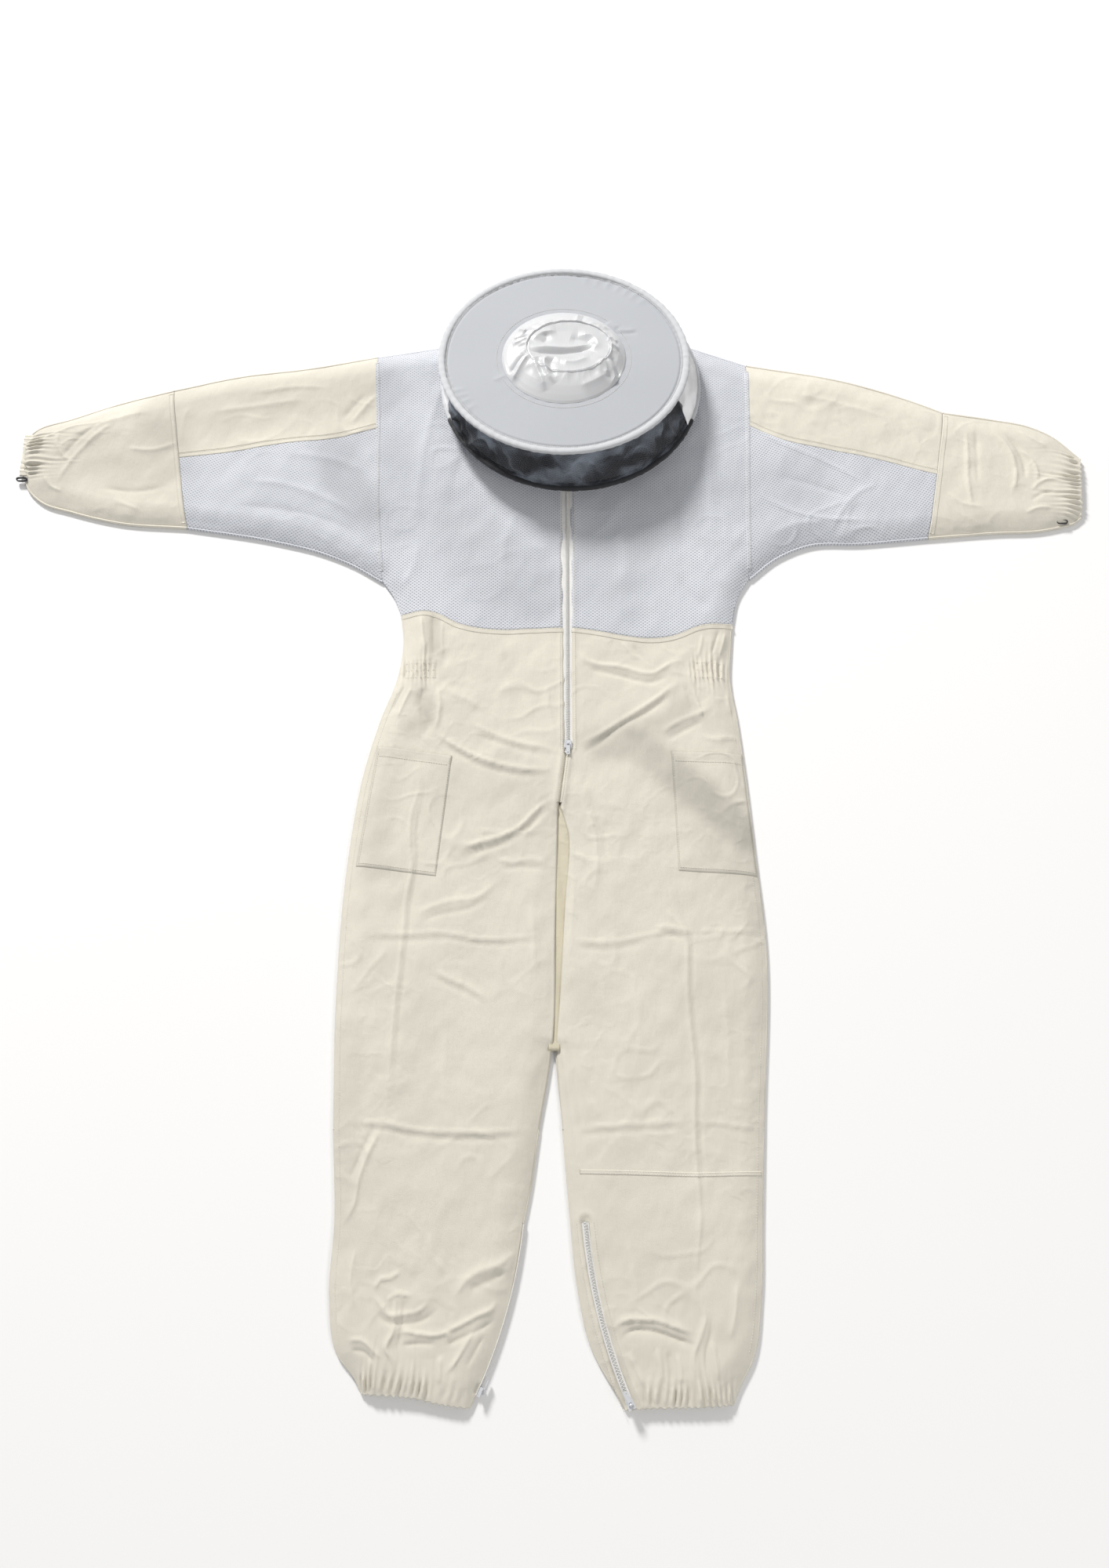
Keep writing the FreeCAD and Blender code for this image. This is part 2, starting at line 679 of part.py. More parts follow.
def veil():
    """The net wall between the hoop and the brim: dark in front, white behind."""
    low = lifted(hoop_frame(), size("binding_radius") + 0.5)
    high = lifted(hat_frame(), -size("binding_radius") - 0.7)
    layers = []
    for layer, shift in (("outside", ""), ("inside", " - #veil_thickness")):
        rings = [circle(f"veil_low_{layer}", "#veil_radius" + shift, low),
                 circle(f"veil_high_{layer}", "#brim_ring_radius" + shift, high)]
        layers.append(loft(f"veil_{layer}", rings))
    wall = cut("veil_wall", *layers)
    reach = 400
    left = point_on((0, 0), reach, -25)
    right = point_on((0, 0), reach, 203)
    corner = [(size("hoop_x") + x, size("hoop_y") + y) for x, y in ((0, 0), right, (0, -reach), left)]
    wedge = pad("veil_front_wedge", straight(*corner, corner[0]), "0 * #cloth_thickness",
                "100 * #cloth_thickness")
    front = doc.addObject("Part::Common", "veil_front_net")
    front.Base = wall
    front.Tool = wedge
    keep("veil_front", front)
    keep("veil_back", cut("veil_back_net", wall, wedge))


def hat():
    place = hat_frame()
    wired_edge("brim_wire", "brim_binding", "#brim_ring_radius", place)
    brim_place = lifted(place, -size("brim_thickness") / 2)
    keep("hat_brim", shell("brim_plate", "#brim_radius", "#crown_radius - 6", "#brim_thickness", brim_place))
    base = lifted(place, size("brim_thickness") / 2)
    layers = []
    for layer, shift, over in (("outside", "", 0), ("inside", " - #crown_wall", 0.01)):
        top = bind(doc.addObject("Part::Ellipse", f"crown_oval_{layer}"),
                   MajorRadius="#crown_half_length" + shift, MinorRadius="#crown_half_width" + shift)
        top.Placement = lifted(base, size("crown_height") + over)
        rings = [circle(f"crown_base_{layer}", "#crown_radius" + shift, lifted(base, -over)),
                 circle(f"crown_band_{layer}", "#crown_band_radius" + shift,
                        lifted(base, size("crown_band_height"))), top]
        layers.append(loft(f"crown_{layer}", rings))
    keep("crown_side", cut("crown_wall", *layers))
    lid = doc.addObject("Part::Extrusion", "crown_lid")
    lid.Base = doc.getObject("crown_oval_outside")
    lid.DirMode = "Normal"
    lid.Solid = True
    bind(lid, LengthFwd="#crown_wall")
    keep("crown_top", lid)
    keep("sweatband", shell("sweatband_wall", "#sweatband_radius + #sweatband_thickness",
                            "#sweatband_radius", "#sweatband_height", lifted(base, 0.3)))


# ---------------------------------------------------------------- assembly

group("coverall_seams", trunk_and_legs() + sleeves())
forearms()
shins()
front_zip()
ankle_zips()
sliders()
waist_elastic()
elastic_ring("wrist_elastic_right", "#right_wrist_width", (-848.4, 541), 0)
elastic_ring("wrist_elastic_left", "#left_wrist_width", (832, 482), -6.3)
elastic_ring("ankle_elastic_right", "#right_ankle_width", (-178.6, -839.2), 82.3)
elastic_ring("ankle_elastic_left", "#left_ankle_width", (170.8, -846.6), 90)
thumb_loop("thumb_loop_right", (-850, 496))
thumb_loop("thumb_loop_left", (801, 419.5))
pockets()
collar()
wired_edge("veil_hoop_wire", "veil_hoop_binding", "#hoop_radius", hoop_frame())
veil_skirt()
veil()
hat()
doc.recompute()

for thing in doc.Objects:
    if "Invalid" in thing.State or "Error" in thing.State:
        raise RuntimeError(f"{thing.Name} did not build: {thing.State}")
for name, thing in nodes.items():
    if thing.Shape.isNull() or not thing.Shape.isValid() or not thing.Shape.Solids:
        raise RuntimeError(f"{name} is not a valid solid")
    thing.Shape.exportStep(f"parts/{name}.step")
print(len(nodes), "pieces written")
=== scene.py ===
"""Beekeeping suit: a ventilated coverall laid out flat, with its veil and brimmed hat on top."""

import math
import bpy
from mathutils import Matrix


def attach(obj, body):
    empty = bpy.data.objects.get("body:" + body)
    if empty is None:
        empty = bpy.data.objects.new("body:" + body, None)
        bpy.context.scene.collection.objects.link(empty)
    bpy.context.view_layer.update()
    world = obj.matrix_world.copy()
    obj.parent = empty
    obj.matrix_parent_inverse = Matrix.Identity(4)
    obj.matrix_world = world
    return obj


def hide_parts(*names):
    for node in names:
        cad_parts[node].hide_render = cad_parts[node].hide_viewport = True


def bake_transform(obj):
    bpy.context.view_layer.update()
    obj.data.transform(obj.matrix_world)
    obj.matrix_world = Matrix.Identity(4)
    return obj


bl_info = {
    "name": "Beekeeping Suit Builder",
    "version": (1, 0, 0),
    "blender": (4, 5, 0),
    "location": "3D View > Sidebar > Bee Suit",
    "description": "Sews the cloth, zips, veil and hat of a beekeeping suit round its CAD frame",
    "category": "Add Mesh",
}

import bpy
import numpy as np

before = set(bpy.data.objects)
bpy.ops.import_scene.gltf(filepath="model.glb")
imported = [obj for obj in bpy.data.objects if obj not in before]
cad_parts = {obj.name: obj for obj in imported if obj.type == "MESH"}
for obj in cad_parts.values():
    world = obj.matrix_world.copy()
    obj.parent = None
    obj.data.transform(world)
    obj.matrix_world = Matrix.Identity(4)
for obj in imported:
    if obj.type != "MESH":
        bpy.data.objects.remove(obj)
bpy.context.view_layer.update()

MM = 0.001
TAU = 2 * math.pi
SIDES = ("right", "left")
OUT = {"right": -1, "left": 1}

# ------------------------------------------------------------------ the garment's plan, in mm
# Right and left are the wearer's. Y runs from the ankles to the shoulders.

SIDE_WAIST = {"right": [(-268, 318), (-249, 290), (-236, 259)],
              "left": [(303, 322), (284, 290), (273, 243)]}
SIDE_LEG = {"right": [(-236, 259), (-231, 212), (-237, 159), (-262, 83), (-281, 9), (-300, -135),
                      (-307, -330), (-302, -510)],
            "left": [(273, 243), (269, 200), (266, 160), (275, 83), (282, 9), (292, -125),
                     (301, -250), (286, -510)]}
CHEST_SEAM = {"right": [(-236, 259), (-190, 261), (-146, 240), (14, 233)],
              "left": [(273, 243), (221, 236), (187, 222), (26, 233)]}
FLY = {"right": [(15.4, 233), (15.4, 40), (16, 28), (12.5, 0), (8, -35), (6, -53)],
       "left": [(24.6, 233), (24.6, 40), (17.5, 28), (13.5, 0), (9.5, -35), (8, -53)]}
INSIDE_LEG = {"right": [(5, -54), (1, -230), (-4, -405), (-21, -510)],
              "left": [(9, -54), (7, -230), (1, -405), (11, -510)]}
INSIDE_FRONT = {"right": INSIDE_LEG["right"],
                "left": [(9, -54), (15, -72), (21, -95), (21, -130), (17, -175), (13, -240), (8, -330),
                         (3, -405), (11, -510)]}
ARMHOLE = {"right": [(-291, 724), (-287, 650), (-284, 594), (-280, 450), (-268, 318)],
           "left": [(315, 708), (313, 650), (312, 600), (306, 450), (303, 322)]}
SHOULDER = {"right": (-190, 742), "left": (225, 742)}
NECK = (19, 655)
NECK_RADIUS = 86
OVERARM = {"right": [(-291, 724), (-408, 701), (-510, 687), (-621.5, 660)],
           "left": [(315, 708), (491, 672), (590, 636), (630.5, 618)]}
UNDERARM = {"right": [(-268, 318), (-314, 346), (-365, 368), (-440, 388), (-579.5, 412)],
            "left": [(303, 322), (347, 358), (397, 380), (480, 384), (587.5, 394)]}
SLEEVE_SEAM = {"right": [(-284, 594), (-349, 574), (-428, 566), (-512, 550), (-601, 538)],
               "left": [(312, 600), (372, 570), (442, 552), (501, 540), (610, 507)]}
FOREARM_TOP = {"right": [(-622, 660), (-709, 634), (-782, 606), (-838, 584),
                         (-850, 571)],
               "left": [(631, 618), (714, 604), (764, 593), (804, 572), (831, 545), (843, 532)]}
FOREARM_UNDER = {"right": [(-580, 412), (-689, 421), (-765, 440), (-815, 458), (-837, 480),
                           (-847, 508)],
                 "left": [(588, 394), (695, 403), (768, 407), (800, 414), (820, 420), (833, 430)]}
SHIN_OUTER = {"right": [(-302, -510), (-294, -632), (-296, -725), (-282, -795), (-258, -824), (-249, -841)],
              "left": [(286, -510), (278, -632), (272, -725), (258, -800), (238, -836), (230, -854)]}
SHIN_INNER = {"right": [(-21, -510), (-33, -592), (-41, -632), (-49, -682), (-61, -740), (-78, -792),
                        (-98, -836), (-108, -858)],
              "left": [(11, -510), (21, -625), (30, -710), (48, -786), (84, -848), (91, -860)]}
HEM = {"right": [(-249, -841), (-212, -843), (-180, -846), (-146, -853), (-108, -858)],
       "left": [(230, -854), (170, -857), (114, -858), (91, -860)]}
ANKLE_CENTRE = {"right": (-665.8, -567.3), "left": (715.9, -577)}
ANKLE_RADIUS = {"right": 628, "left": 677}
ANKLE_TOP_ANGLE = {"right": -5.9, "left": 184.5}
POCKET = {"right": [(-263, 43), (-287, -142), (-171, -157), (-152, 26)],
          "left": [(279, 31), (293, -156), (179, -149), (173, 33)]}
WAIST_BAND = {"right": (-202, 163), "left": (234, 163)}
WRIST = {"right": ((-848.4, 541), 80, 180), "left": ((832, 482), 112, -6.3)}
ANKLE = {"right": ((-178.6, -839.2), 138, 262.3), "left": ((170.8, -846.6), 116, 270)}
THUMB_LOOP = {"right": (-850, 496), "left": (801, 419.5)}
KNEE = -510
HOOP = ((26, 655, 34), 6)
HAT = ((15, 682, 65), 10)

# ------------------------------------------------------------------ folds and creases, in mm
# Each is (height, width on its left, width on its right, points); a valley's height is negative.

FOLDS = [
    # waist, wearer's right
    (-3.0, 10, 9, [(-187, 262), (-185, 235), (-184, 205), (-181, 178)]),
    (2.6, 5, 9, [(-205, 258), (-201, 225), (-197, 190)]),
    (2.4, 8, 5, [(-172, 250), (-172, 215), (-170, 180)]),
    (-3.4, 12, 16, [(-190, 142), (-200, 120), (-198, 100), (-188, 74), (-196, 56)]),
    (2.6, 6, 7, [(-178, 140), (-172, 112), (-174, 84), (-180, 62)]),
    (2.2, 6, 8, [(-214, 138), (-226, 110), (-236, 84)]),
    (-1.8, 5, 6, [(-224, 142), (-236, 118), (-244, 96)]),
    # belly, wearer's right
    (2.6, 7, 5, [(-188, 70), (-150, 43), (-111, 22), (-70, 10), (-16, 4), (8, 8)]),
    (-1.8, 6, 9, [(-176, 50), (-140, 28), (-100, 8), (-60, -2), (-10, -6)]),
    (1.9, 7, 5, [(-132, 80), (-107, 68), (-71, 52), (-25, 40), (6, 34)]),
    (-1.3, 5, 7, [(-120, 62), (-92, 50), (-55, 38), (-10, 24)]),
    (1.5, 12, 10, [(-176, 136), (-140, 120), (-100, 96)]),
    (1.4, 8, 10, [(-12, 150), (-7, 90), (6, 40)]),
    (1.4, 16, 12, [(-90, 128), (-48, 136), (-21, 122)]),
    (-1.2, 14, 12, [(-80, 200), (-60, 150), (-40, 112)]),
    # waist and belly, wearer's left
    (2.4, 6, 7, [(32, 196), (52, 177), (103, 168), (148, 158), (180, 176), (204, 180)]),
    (-2.0, 8, 6, [(46, 166), (100, 154), (150, 144), (178, 158)]),
    (1.8, 5, 5, [(103, 212), (116, 192), (126, 178)]),
    (-1.4, 5, 6, [(118, 206), (130, 190), (146, 172)]),
    (3.0, 11, 7, [(192, 150), (160, 122), (126, 98), (92, 76), (60, 56), (30, 42)]),
    (-3.0, 8, 13, [(180, 128), (140, 96), (100, 74), (60, 42), (34, 26)]),
    (2.2, 6, 7, [(238, 104), (215, 92), (190, 82), (156, 60)]),
    (-1.8, 7, 8, [(226, 84), (196, 68), (166, 50)]),
    (1.8, 5, 6, [(218, 58), (240, 52), (262, 56), (277, 50)]),
    (-2.0, 5, 6, [(252, 232), (244, 206), (237, 186)]),
    (2.0, 5, 6, [(262, 228), (256, 204), (250, 184)]),
    (1.6, 4, 5, [(226, 224), (222, 200), (216, 182)]),
    (2.0, 5, 6, [(206, 140), (214, 112), (222, 84)]),
    (-1.6, 5, 6, [(196, 142), (203, 116), (208, 92)]),
    (1.7, 5, 6, [(262, 140), (262, 112), (266, 88)]),
    # crotch
    (3.0, 6, 4, [(5, -36), (-12, -46), (-29, -60), (-47, -80), (-69, -94), (-108, -107), (-150, -121)]),
    (-3.0, 5, 12, [(2, -52), (-20, -66), (-38, -86), (-60, -104), (-100, -118), (-140, -132)]),
    (1.8, 4, 5, [(-14, -74), (-35, -88), (-58, -102), (-84, -118)]),
    (1.2, 4, 4, [(-125, -88), (-60, -93), (0, -87)]),
    (1.6, 5, 4, [(-8, -138), (-33, -132), (-60, -136), (-90, -130)]),
    (-1.4, 5, 6, [(-10, -148), (-40, -144), (-80, -146)]),
    (1.8, 6, 5, [(-206, -216), (-167, -200), (-140, -193), (-114, -190), (-88, -170), (-78, -156)]),
    (-1.6, 5, 8, [(-196, -224), (-160, -212), (-116, -202), (-92, -186)]),
    (2.0, 6, 8, [(37, -26), (50, -64), (59, -101), (61, -150), (56, -190)]),
    (-1.5, 7, 6, [(48, -24), (62, -64), (72, -104), (74, -150)]),
    (1.5, 9, 9, [(20, -70), (24, -130), (26, -200), (16, -290)]),
    # wearer's right leg: packing creases and knee folds
    (1.8, 5, 4, [(-203, 32), (-199, -27), (-208, -60), (-210, -110), (-206, -140), (-213, -191),
                 (-216, -245), (-221, -310), (-225, -370), (-227, -437), (-230, -500)]),
    (-1.2, 8, 3, [(-196, 30), (-191, -27), (-200, -82), (-198, -137), (-205, -191), (-208, -245),
                  (-213, -310), (-217, -370), (-219, -437), (-222, -498)]),
    (1.6, 4, 4, [(-283, -240), (-216, -242), (-166, -239), (-102, -249), (-50, -247), (-7, -242)]),
    (-1.1, 6, 4, [(-280, -250), (-216, -252), (-150, -250), (-90, -258), (-14, -252)]),
    (1.6, 6, 5, [(-172, -288), (-158, -300), (-119, -318), (-91, -338)]),
    (-1.2, 7, 6, [(-180, -298), (-150, -314), (-112, -332), (-88, -350)]),
    (2.2, 4, 5, [(-291, -502), (-233, -502), (-191, -510), (-132, -514), (-82, -514), (-26, -509)]),
    (-1.6, 4, 7, [(-290, -511), (-233, -511), (-191, -519), (-132, -523), (-82, -523), (-28, -518)]),
    (2.6, 6, 9, [(-231, -503), (-248, -536), (-262, -575), (-268, -610), (-287, -640)]),
    (-1.8, 8, 6, [(-243, -505), (-260, -540), (-276, -580)]),
    (1.4, 10, 9, [(-34, -190), (-30, -245), (-27, -300)]),
    (1.3, 12, 12, [(-150, -372), (-152, -430), (-146, -490)]),
    # wearer's left leg
    (1.9, 4, 5, [(172, -137), (176, -158), (168, -186), (175, -212), (184, -236), (186, -318),
                 (189, -378), (193, -437), (190, -499), (192, -568), (194, -631), (190, -664),
                 (186, -730), (192, -764)]),
    (-1.4, 3, 8, [(181, -140), (186, -164), (179, -190), (186, -216), (194, -240), (195, -318),
                  (198, -378), (202, -437), (199, -499), (201, -568), (202, -631)]),
    (2.2, 5, 5, [(140, -234), (160, -232), (183, -237), (200, -239)]),
    (1.9, 4, 4, [(183, -237), (170, -220), (160, -206)]),
    (-2.2, 4, 5, [(150, -243), (168, -244), (184, -248)]),
    (1.6, 4, 5, [(19, -250), (79, -253), (139, -242), (178, -236)]),
    (1.4, 4, 4, [(186, -241), (215, -237), (255, -238), (299, -236)]),
    (-1.0, 5, 4, [(22, -261), (80, -264), (138, -253)]),
    (1.6, 4, 4, [(22, -512), (60, -507), (100, -504), (150, -502), (189, -499)]),
    (-1.2, 4, 6, [(24, -521), (60, -516), (110, -513), (180, -509)]),
    (1.5, 4, 4, [(191, -501), (229, -503), (258, -508), (283, -509)]),
    (1.4, 4, 4, [(0, -349), (10, -400), (19, -454), (25, -503), (35, -568), (40, -612)]),
    (-1.0, 5, 4, [(8, -349), (18, -400), (28, -454), (34, -503), (43, -560)]),
    (1.0, 6, 6, [(62, -300), (70, -330), (79, -362)]),
    (1.0, 7, 7, [(49, -470), (56, -484), (61, -496)]),
    (1.2, 14, 12, [(110, -300), (118, -360), (114, -430)]),
    (1.3, 12, 14, [(236, -300), (240, -380), (238, -470)]),
    # ankle, wearer's right
    (2.4, 5, 5, [(-200, -690), (-216, -700), (-228, -702), (-236, -716)]),
    (2.8, 5, 5, [(-206, -716), (-208, -740), (-209, -764), (-218, -786), (-210, -800), (-211, -816)]),
    (-2.2, 6, 5, [(-196, -720), (-197, -744), (-199, -766), (-204, -792)]),
    (2.0, 4, 4, [(-222, -730), (-206, -720), (-184, -723)]),
    (2.4, 5, 6, [(-240, -718), (-226, -734), (-216, -745), (-196, -744), (-179, -741), (-158, -722)]),
    (-2.0, 6, 6, [(-236, -736), (-222, -752), (-196, -756), (-172, -752), (-150, -736)]),
    (2.6, 5, 5, [(-209, -771), (-196, -766), (-178, -768), (-156, -770), (-140, -768), (-138, -792)]),
    (-2.0, 5, 6, [(-200, -782), (-176, -780), (-152, -781)]),
    (2.8, 6, 6, [(-150, -770), (-124, -758), (-100, -746), (-82, -738), (-72, -724)]),
    (-2.2, 6, 7, [(-146, -784), (-118, -772), (-92, -760), (-74, -748)]),
    (2.6, 5, 6, [(-102, -760), (-112, -776), (-124, -796), (-140, -818)]),
    (-1.8, 5, 6, [(-90, -768), (-102, -788), (-114, -810)]),
    (2.0, 5, 5, [(-147, -793), (-148, -812), (-148, -830)]),
    (2.2, 5, 6, [(-272, -776), (-250, -776), (-232, -790), (-222, -800)]),
    (-1.8, 5, 6, [(-266, -788), (-246, -790), (-232, -804)]),
    (3.0, 14, 12, [(-46, -664), (-74, -684), (-104, -694), (-124, -712), (-132, -730)]),
    (-2.4, 10, 12, [(-58, -688), (-86, -704), (-116, -716)]),
    (1.6, 8, 8, [(-166, -640), (-160, -672), (-140, -698)]),
    (1.8, 8, 8, [(-262, -660), (-268, -700), (-262, -742)]),
    # ankle, wearer's left
    (3.2, 7, 4, [(74, -768), (84, -756), (96, -751), (114, -751), (132, -752), (156, -760), (186, -770)]),
    (-3.2, 4, 9, [(82, -776), (100, -764), (126, -764), (156, -773), (188, -784)]),
    (2.2, 5, 6, [(192, -730), (196, -750), (190, -770), (180, -796), (184, -826)]),
    (-1.8, 5, 5, [(202, -740), (204, -764), (196, -792), (196, -820)]),
    (2.0, 5, 5, [(204, -775), (208, -800), (211, -826)]),
    (2.0, 5, 5, [(132, -784), (137, -806), (140, -830)]),
    (2.0, 5, 5, [(158, -790), (163, -812), (163, -830)]),
    (2.0, 5, 5, [(96, -790), (106, -812), (117, -834)]),
    (-1.8, 5, 5, [(146, -788), (150, -810), (151, -828)]),
    (2.0, 9, 9, [(240, -700), (236, -740), (226, -780)]),
    (1.4, 10, 10, [(96, -640), (104, -690), (112, -730)]),
    # sleeve caps and under-sleeves
    (2.4, 7, 9, [(-330, 590), (-314, 614), (-300, 634), (-287, 650)]),
    (-2.0, 8, 8, [(-342, 600), (-326, 624), (-306, 650)]),
    (1.6, 10, 12, [(-400, 640), (-470, 628), (-560, 612)]),
    (1.3, 9, 9, [(-590, 630), (-600, 590), (-597, 550)]),
    (1.5, 9, 10, [(-360, 660), (-420, 662), (-500, 650)]),
    (1.8, 12, 14, [(-300, 420), (-350, 452), (-420, 480), (-500, 490)]),
    (-1.6, 16, 14, [(-290, 380), (-340, 412), (-420, 436), (-520, 446)]),
    (1.4, 12, 14, [(-290, 500), (-350, 526), (-430, 540)]),
    (2.0, 5, 6, [(318, 588), (360, 560), (430, 524), (500, 480)]),
    (2.0, 7, 5, [(318, 470), (360, 440), (430, 420), (500, 420)]),
    (1.6, 8, 6, [(430, 390), (450, 430), (480, 466), (520, 486)]),
    (-1.6, 12, 12, [(350, 500), (420, 478), (480, 452)]),
    (1.5, 10, 12, [(380, 650), (450, 634), (540, 604)]),
    (1.3, 8, 10, [(560, 602), (580, 566), (592, 530)]),
    (1.4, 12, 12, [(330, 390), (380, 412), (440, 416)]),
    # forearms
    (1.8, 8, 7, [(-600, 560), (-640, 545), (-690, 548)]),
    (-1.4, 9, 8, [(-612, 480), (-660, 470), (-720, 476)]),
    (1.4, 10, 12, [(-650, 620), (-720, 598), (-780, 570)]),
    (2.2, 6, 8, [(-706, 600), (-742, 566), (-774, 520), (-794, 478)]),
    (-2.0, 8, 8, [(-730, 600), (-764, 566), (-792, 526)]),
    (2.4, 5, 6, [(-796, 584), (-798, 560), (-786, 536), (-770, 520)]),
    (1.8, 6, 6, [(-812, 500), (-800, 480), (-780, 470)]),
    (2.2, 6, 5, [(664, 590), (660, 540), (656, 480), (660, 430)]),
    (-1.8, 7, 7, [(680, 592), (676, 540), (672, 480)]),
    (3.0, 6, 5, [(706, 578), (724, 552), (734, 520), (732, 488), (722, 462)]),
    (-3.0, 6, 8, [(722, 582), (740, 552), (750, 520), (748, 486)]),
    (2.4, 5, 5, [(742, 548), (760, 530), (768, 506), (766, 484)]),
    (2.4, 5, 5, [(756, 470), (770, 486), (790, 492), (806, 488)]),
    (-2.0, 5, 6, [(752, 452), (772, 466), (794, 470)]),
    (2.2, 6, 6, [(746, 584), (766, 566), (790, 548)]),
    (1.6, 9, 9, [(620, 470), (640, 450), (680, 440)]),
    (2.0, 6, 6, [(740, 430), (762, 440), (786, 440)]),
    # chest mesh
    (1.8, 16, 18, [(-170, 700), (-200, 600), (-214, 500), (-222, 400)]),
    (-1.5, 20, 18, [(-120, 620), (-150, 520), (-170, 420)]),
    (1.6, 18, 18, [(-60, 440), (-80, 360), (-70, 290)]),
    (1.8, 16, 18, [(220, 680), (240, 580), (244, 480), (250, 380)]),
    (-1.5, 20, 20, [(150, 520), (190, 440), (200, 350)]),
    (1.6, 18, 18, [(90, 420), (110, 350), (100, 290)]),
    (1.8, 8, 10, [(262, 300), (240, 330), (226, 370)]),
    (1.6, 8, 10, [(-236, 300), (-220, 340), (-212, 380)]),
    (-1.6, 12, 12, [(240, 262), (210, 290), (190, 330)]),
]

# Gathers over elastic: centre, run of the elastic (degrees), its length, pitch, height, reach each way.
GATHERS = [
    ((-205, 163), 0, 58, 7.6, 2.6, 9, 9),
    ((237, 163), 0, 64, 7.8, 2.8, 9, 10),
    ((-206, -838), -4, 98, 8.6, 2.6, 12, 13),
    ((-130, -850), -8, 50, 12.0, 0.8, 8, 12),
    ((174, -850), 0, 118, 8.8, 2.5, 12, 13),
    ((-840, 538), 90, 84, 8.0, 2.6, 12, 17),
    ((834, 483), 84, 116, 8.4, 2.8, 12, 18),
]

# Painted shade: cast shadows and darker patches painted into the cloth's colour. Each is share taken off the
# colour, width, points.
PAINTED_SHADE = [
    (0.20, 27, [(70, 46), (110, 44), (150, 22), (208, -30), (275, -92)]),
    (0.18, 70, [(-830, 540), (-730, 540), (-640, 530)]),
    (0.17, 56, [(-620, 610), (-450, 640), (-290, 660)]),
    (0.07, 22, [(-285, -380), (-286, -500), (-283, -640)]),
    (0.07, 40, [(-160, -30), (-110, -26), (-50, -20)]),
    (0.18, 36, [(-300, 440), (-330, 480), (-350, 540)]),
    (0.12, 20, [(120, 70), (160, 76), (196, 96)]),
    (0.07, 40, [(196, -30), (240, -90), (282, -150), (290, -200)]),
    (0.05, 40, [(205, -330), (290, -340)]),
    (0.14, 13, [(-184, 240), (-182, 200), (-180, 178)]),
    (0.14, 15, [(-196, 120), (-192, 84), (-214, 62)]),
    (0.08, 11, [(0, -66), (-40, -92), (-90, -120), (-140, -134)]),
    (0.09, 26, [(-240, 30), (-256, -60), (-262, -140)]),
    (0.07, 50, [(-270, 560), (-262, 500), (-256, 430)]),
    (0.07, 46, [(300, 470), (340, 500), (400, 500)]),
    (0.11, 60, [(-150, 420), (-90, 330), (-40, 300)]),
    (0.07, 60, [(60, 520), (110, 430), (90, 330)]),
    (0.07, 40, [(120, 520), (170, 480), (200, 440)]),
]


# ------------------------------------------------------------------ lines and surfaces in numpy

def smooth(points, count=200):
    """A smooth line through points in mm, as count points in metres evenly spaced along it.

    Between two points it is the Hermite cubic whose end slopes are the central differences of
    the points over their distances along the chain.
    """
    p = np.array(points, float) * MM
    knots = np.r_[0, np.cumsum(np.linalg.norm(np.diff(p, axis=0), axis=1))]
    slopes = np.gradient(p, knots, axis=0)
    at = np.linspace(0, knots[-1], 8 * count)
    i = np.clip(np.searchsorted(knots, at, side="right") - 1, 0, len(knots) - 2)
    h = (knots[i + 1] - knots[i])[:, None]
    f = ((at - knots[i]) / h[:, 0])[:, None]
    line = ((1 + 2 * f) * (1 - f) ** 2 * p[i] + f * (1 - f) ** 2 * h * slopes[i]
            + f ** 2 * (3 - 2 * f) * p[i + 1] - f ** 2 * (1 - f) * h * slopes[i + 1])
    return along(line, np.linspace(0, 1, count))


def straight(*points):
    """A line with sharp corners through points in mm, in metres."""
    return np.array(points, float) * MM


def joined(*lines):
    """Several lines end to end, without the points that repeat."""
    line = np.concatenate(lines)
    keep = np.r_[True, np.linalg.norm(np.diff(line, axis=0), axis=1) > 1e-7]
    return line[keep]


def along(line, shares):
    """The points at these shares, 0 to 1, of a line's length."""
    knots = np.r_[0, np.cumsum(np.linalg.norm(np.diff(line, axis=0), axis=1))]
    at = np.asarray(shares) * knots[-1]
    return np.stack([np.interp(at, knots, line[:, k]) for k in range(line.shape[1])], axis=-1)


def arc_line(centre, radius, first, last, count=120):
    """An arc in plan from one angle to another, in degrees, from mm to metres."""
    turn = np.radians(np.linspace(first, last, count))
    return (np.array(centre) + radius * np.stack([np.cos(turn), np.sin(turn)], -1)) * MM


def length_of(line):
    return float(np.linalg.norm(np.diff(line, axis=0), axis=1).sum())


def crowded(count, start=0.0, end=0.0, reach=0.08):
    """Shares from 0 to 1 that stand closer together near the start or end.

    The spacing is 1 / (1 + start * exp(-s / reach) + end * exp(-(1 - s) / reach)).
    """
    s = np.linspace(0, 1, 2000)
    density = 1 + start * np.exp(-s / reach) + end * np.exp(-(1 - s) / reach)
    total = np.r_[0, np.cumsum((density[1:] + density[:-1]) / 2)]
    return np.interp(np.linspace(0, total[-1], count), total, s)


def patch(first, last, outer, inner, across, down):
    """A Coons patch between four lines: rows go down from first to last, columns from outer to inner.

    P(u, v) is the blend of the two pairs of lines less the blend of the four corners.
    """
    a, b = along(first, across), along(last, across)
    c, d = along(outer, down), along(inner, down)
    u, v = across[None, :, None], down[:, None, None]
    corners = ((1 - u) * (1 - v) * a[0] + u * (1 - v) * a[-1] + (1 - u) * v * b[0] + u * v * b[-1])
    return ((1 - v) * a[None] + v * b[None] + (1 - u) * c[:, None] + u * d[:, None] - corners)


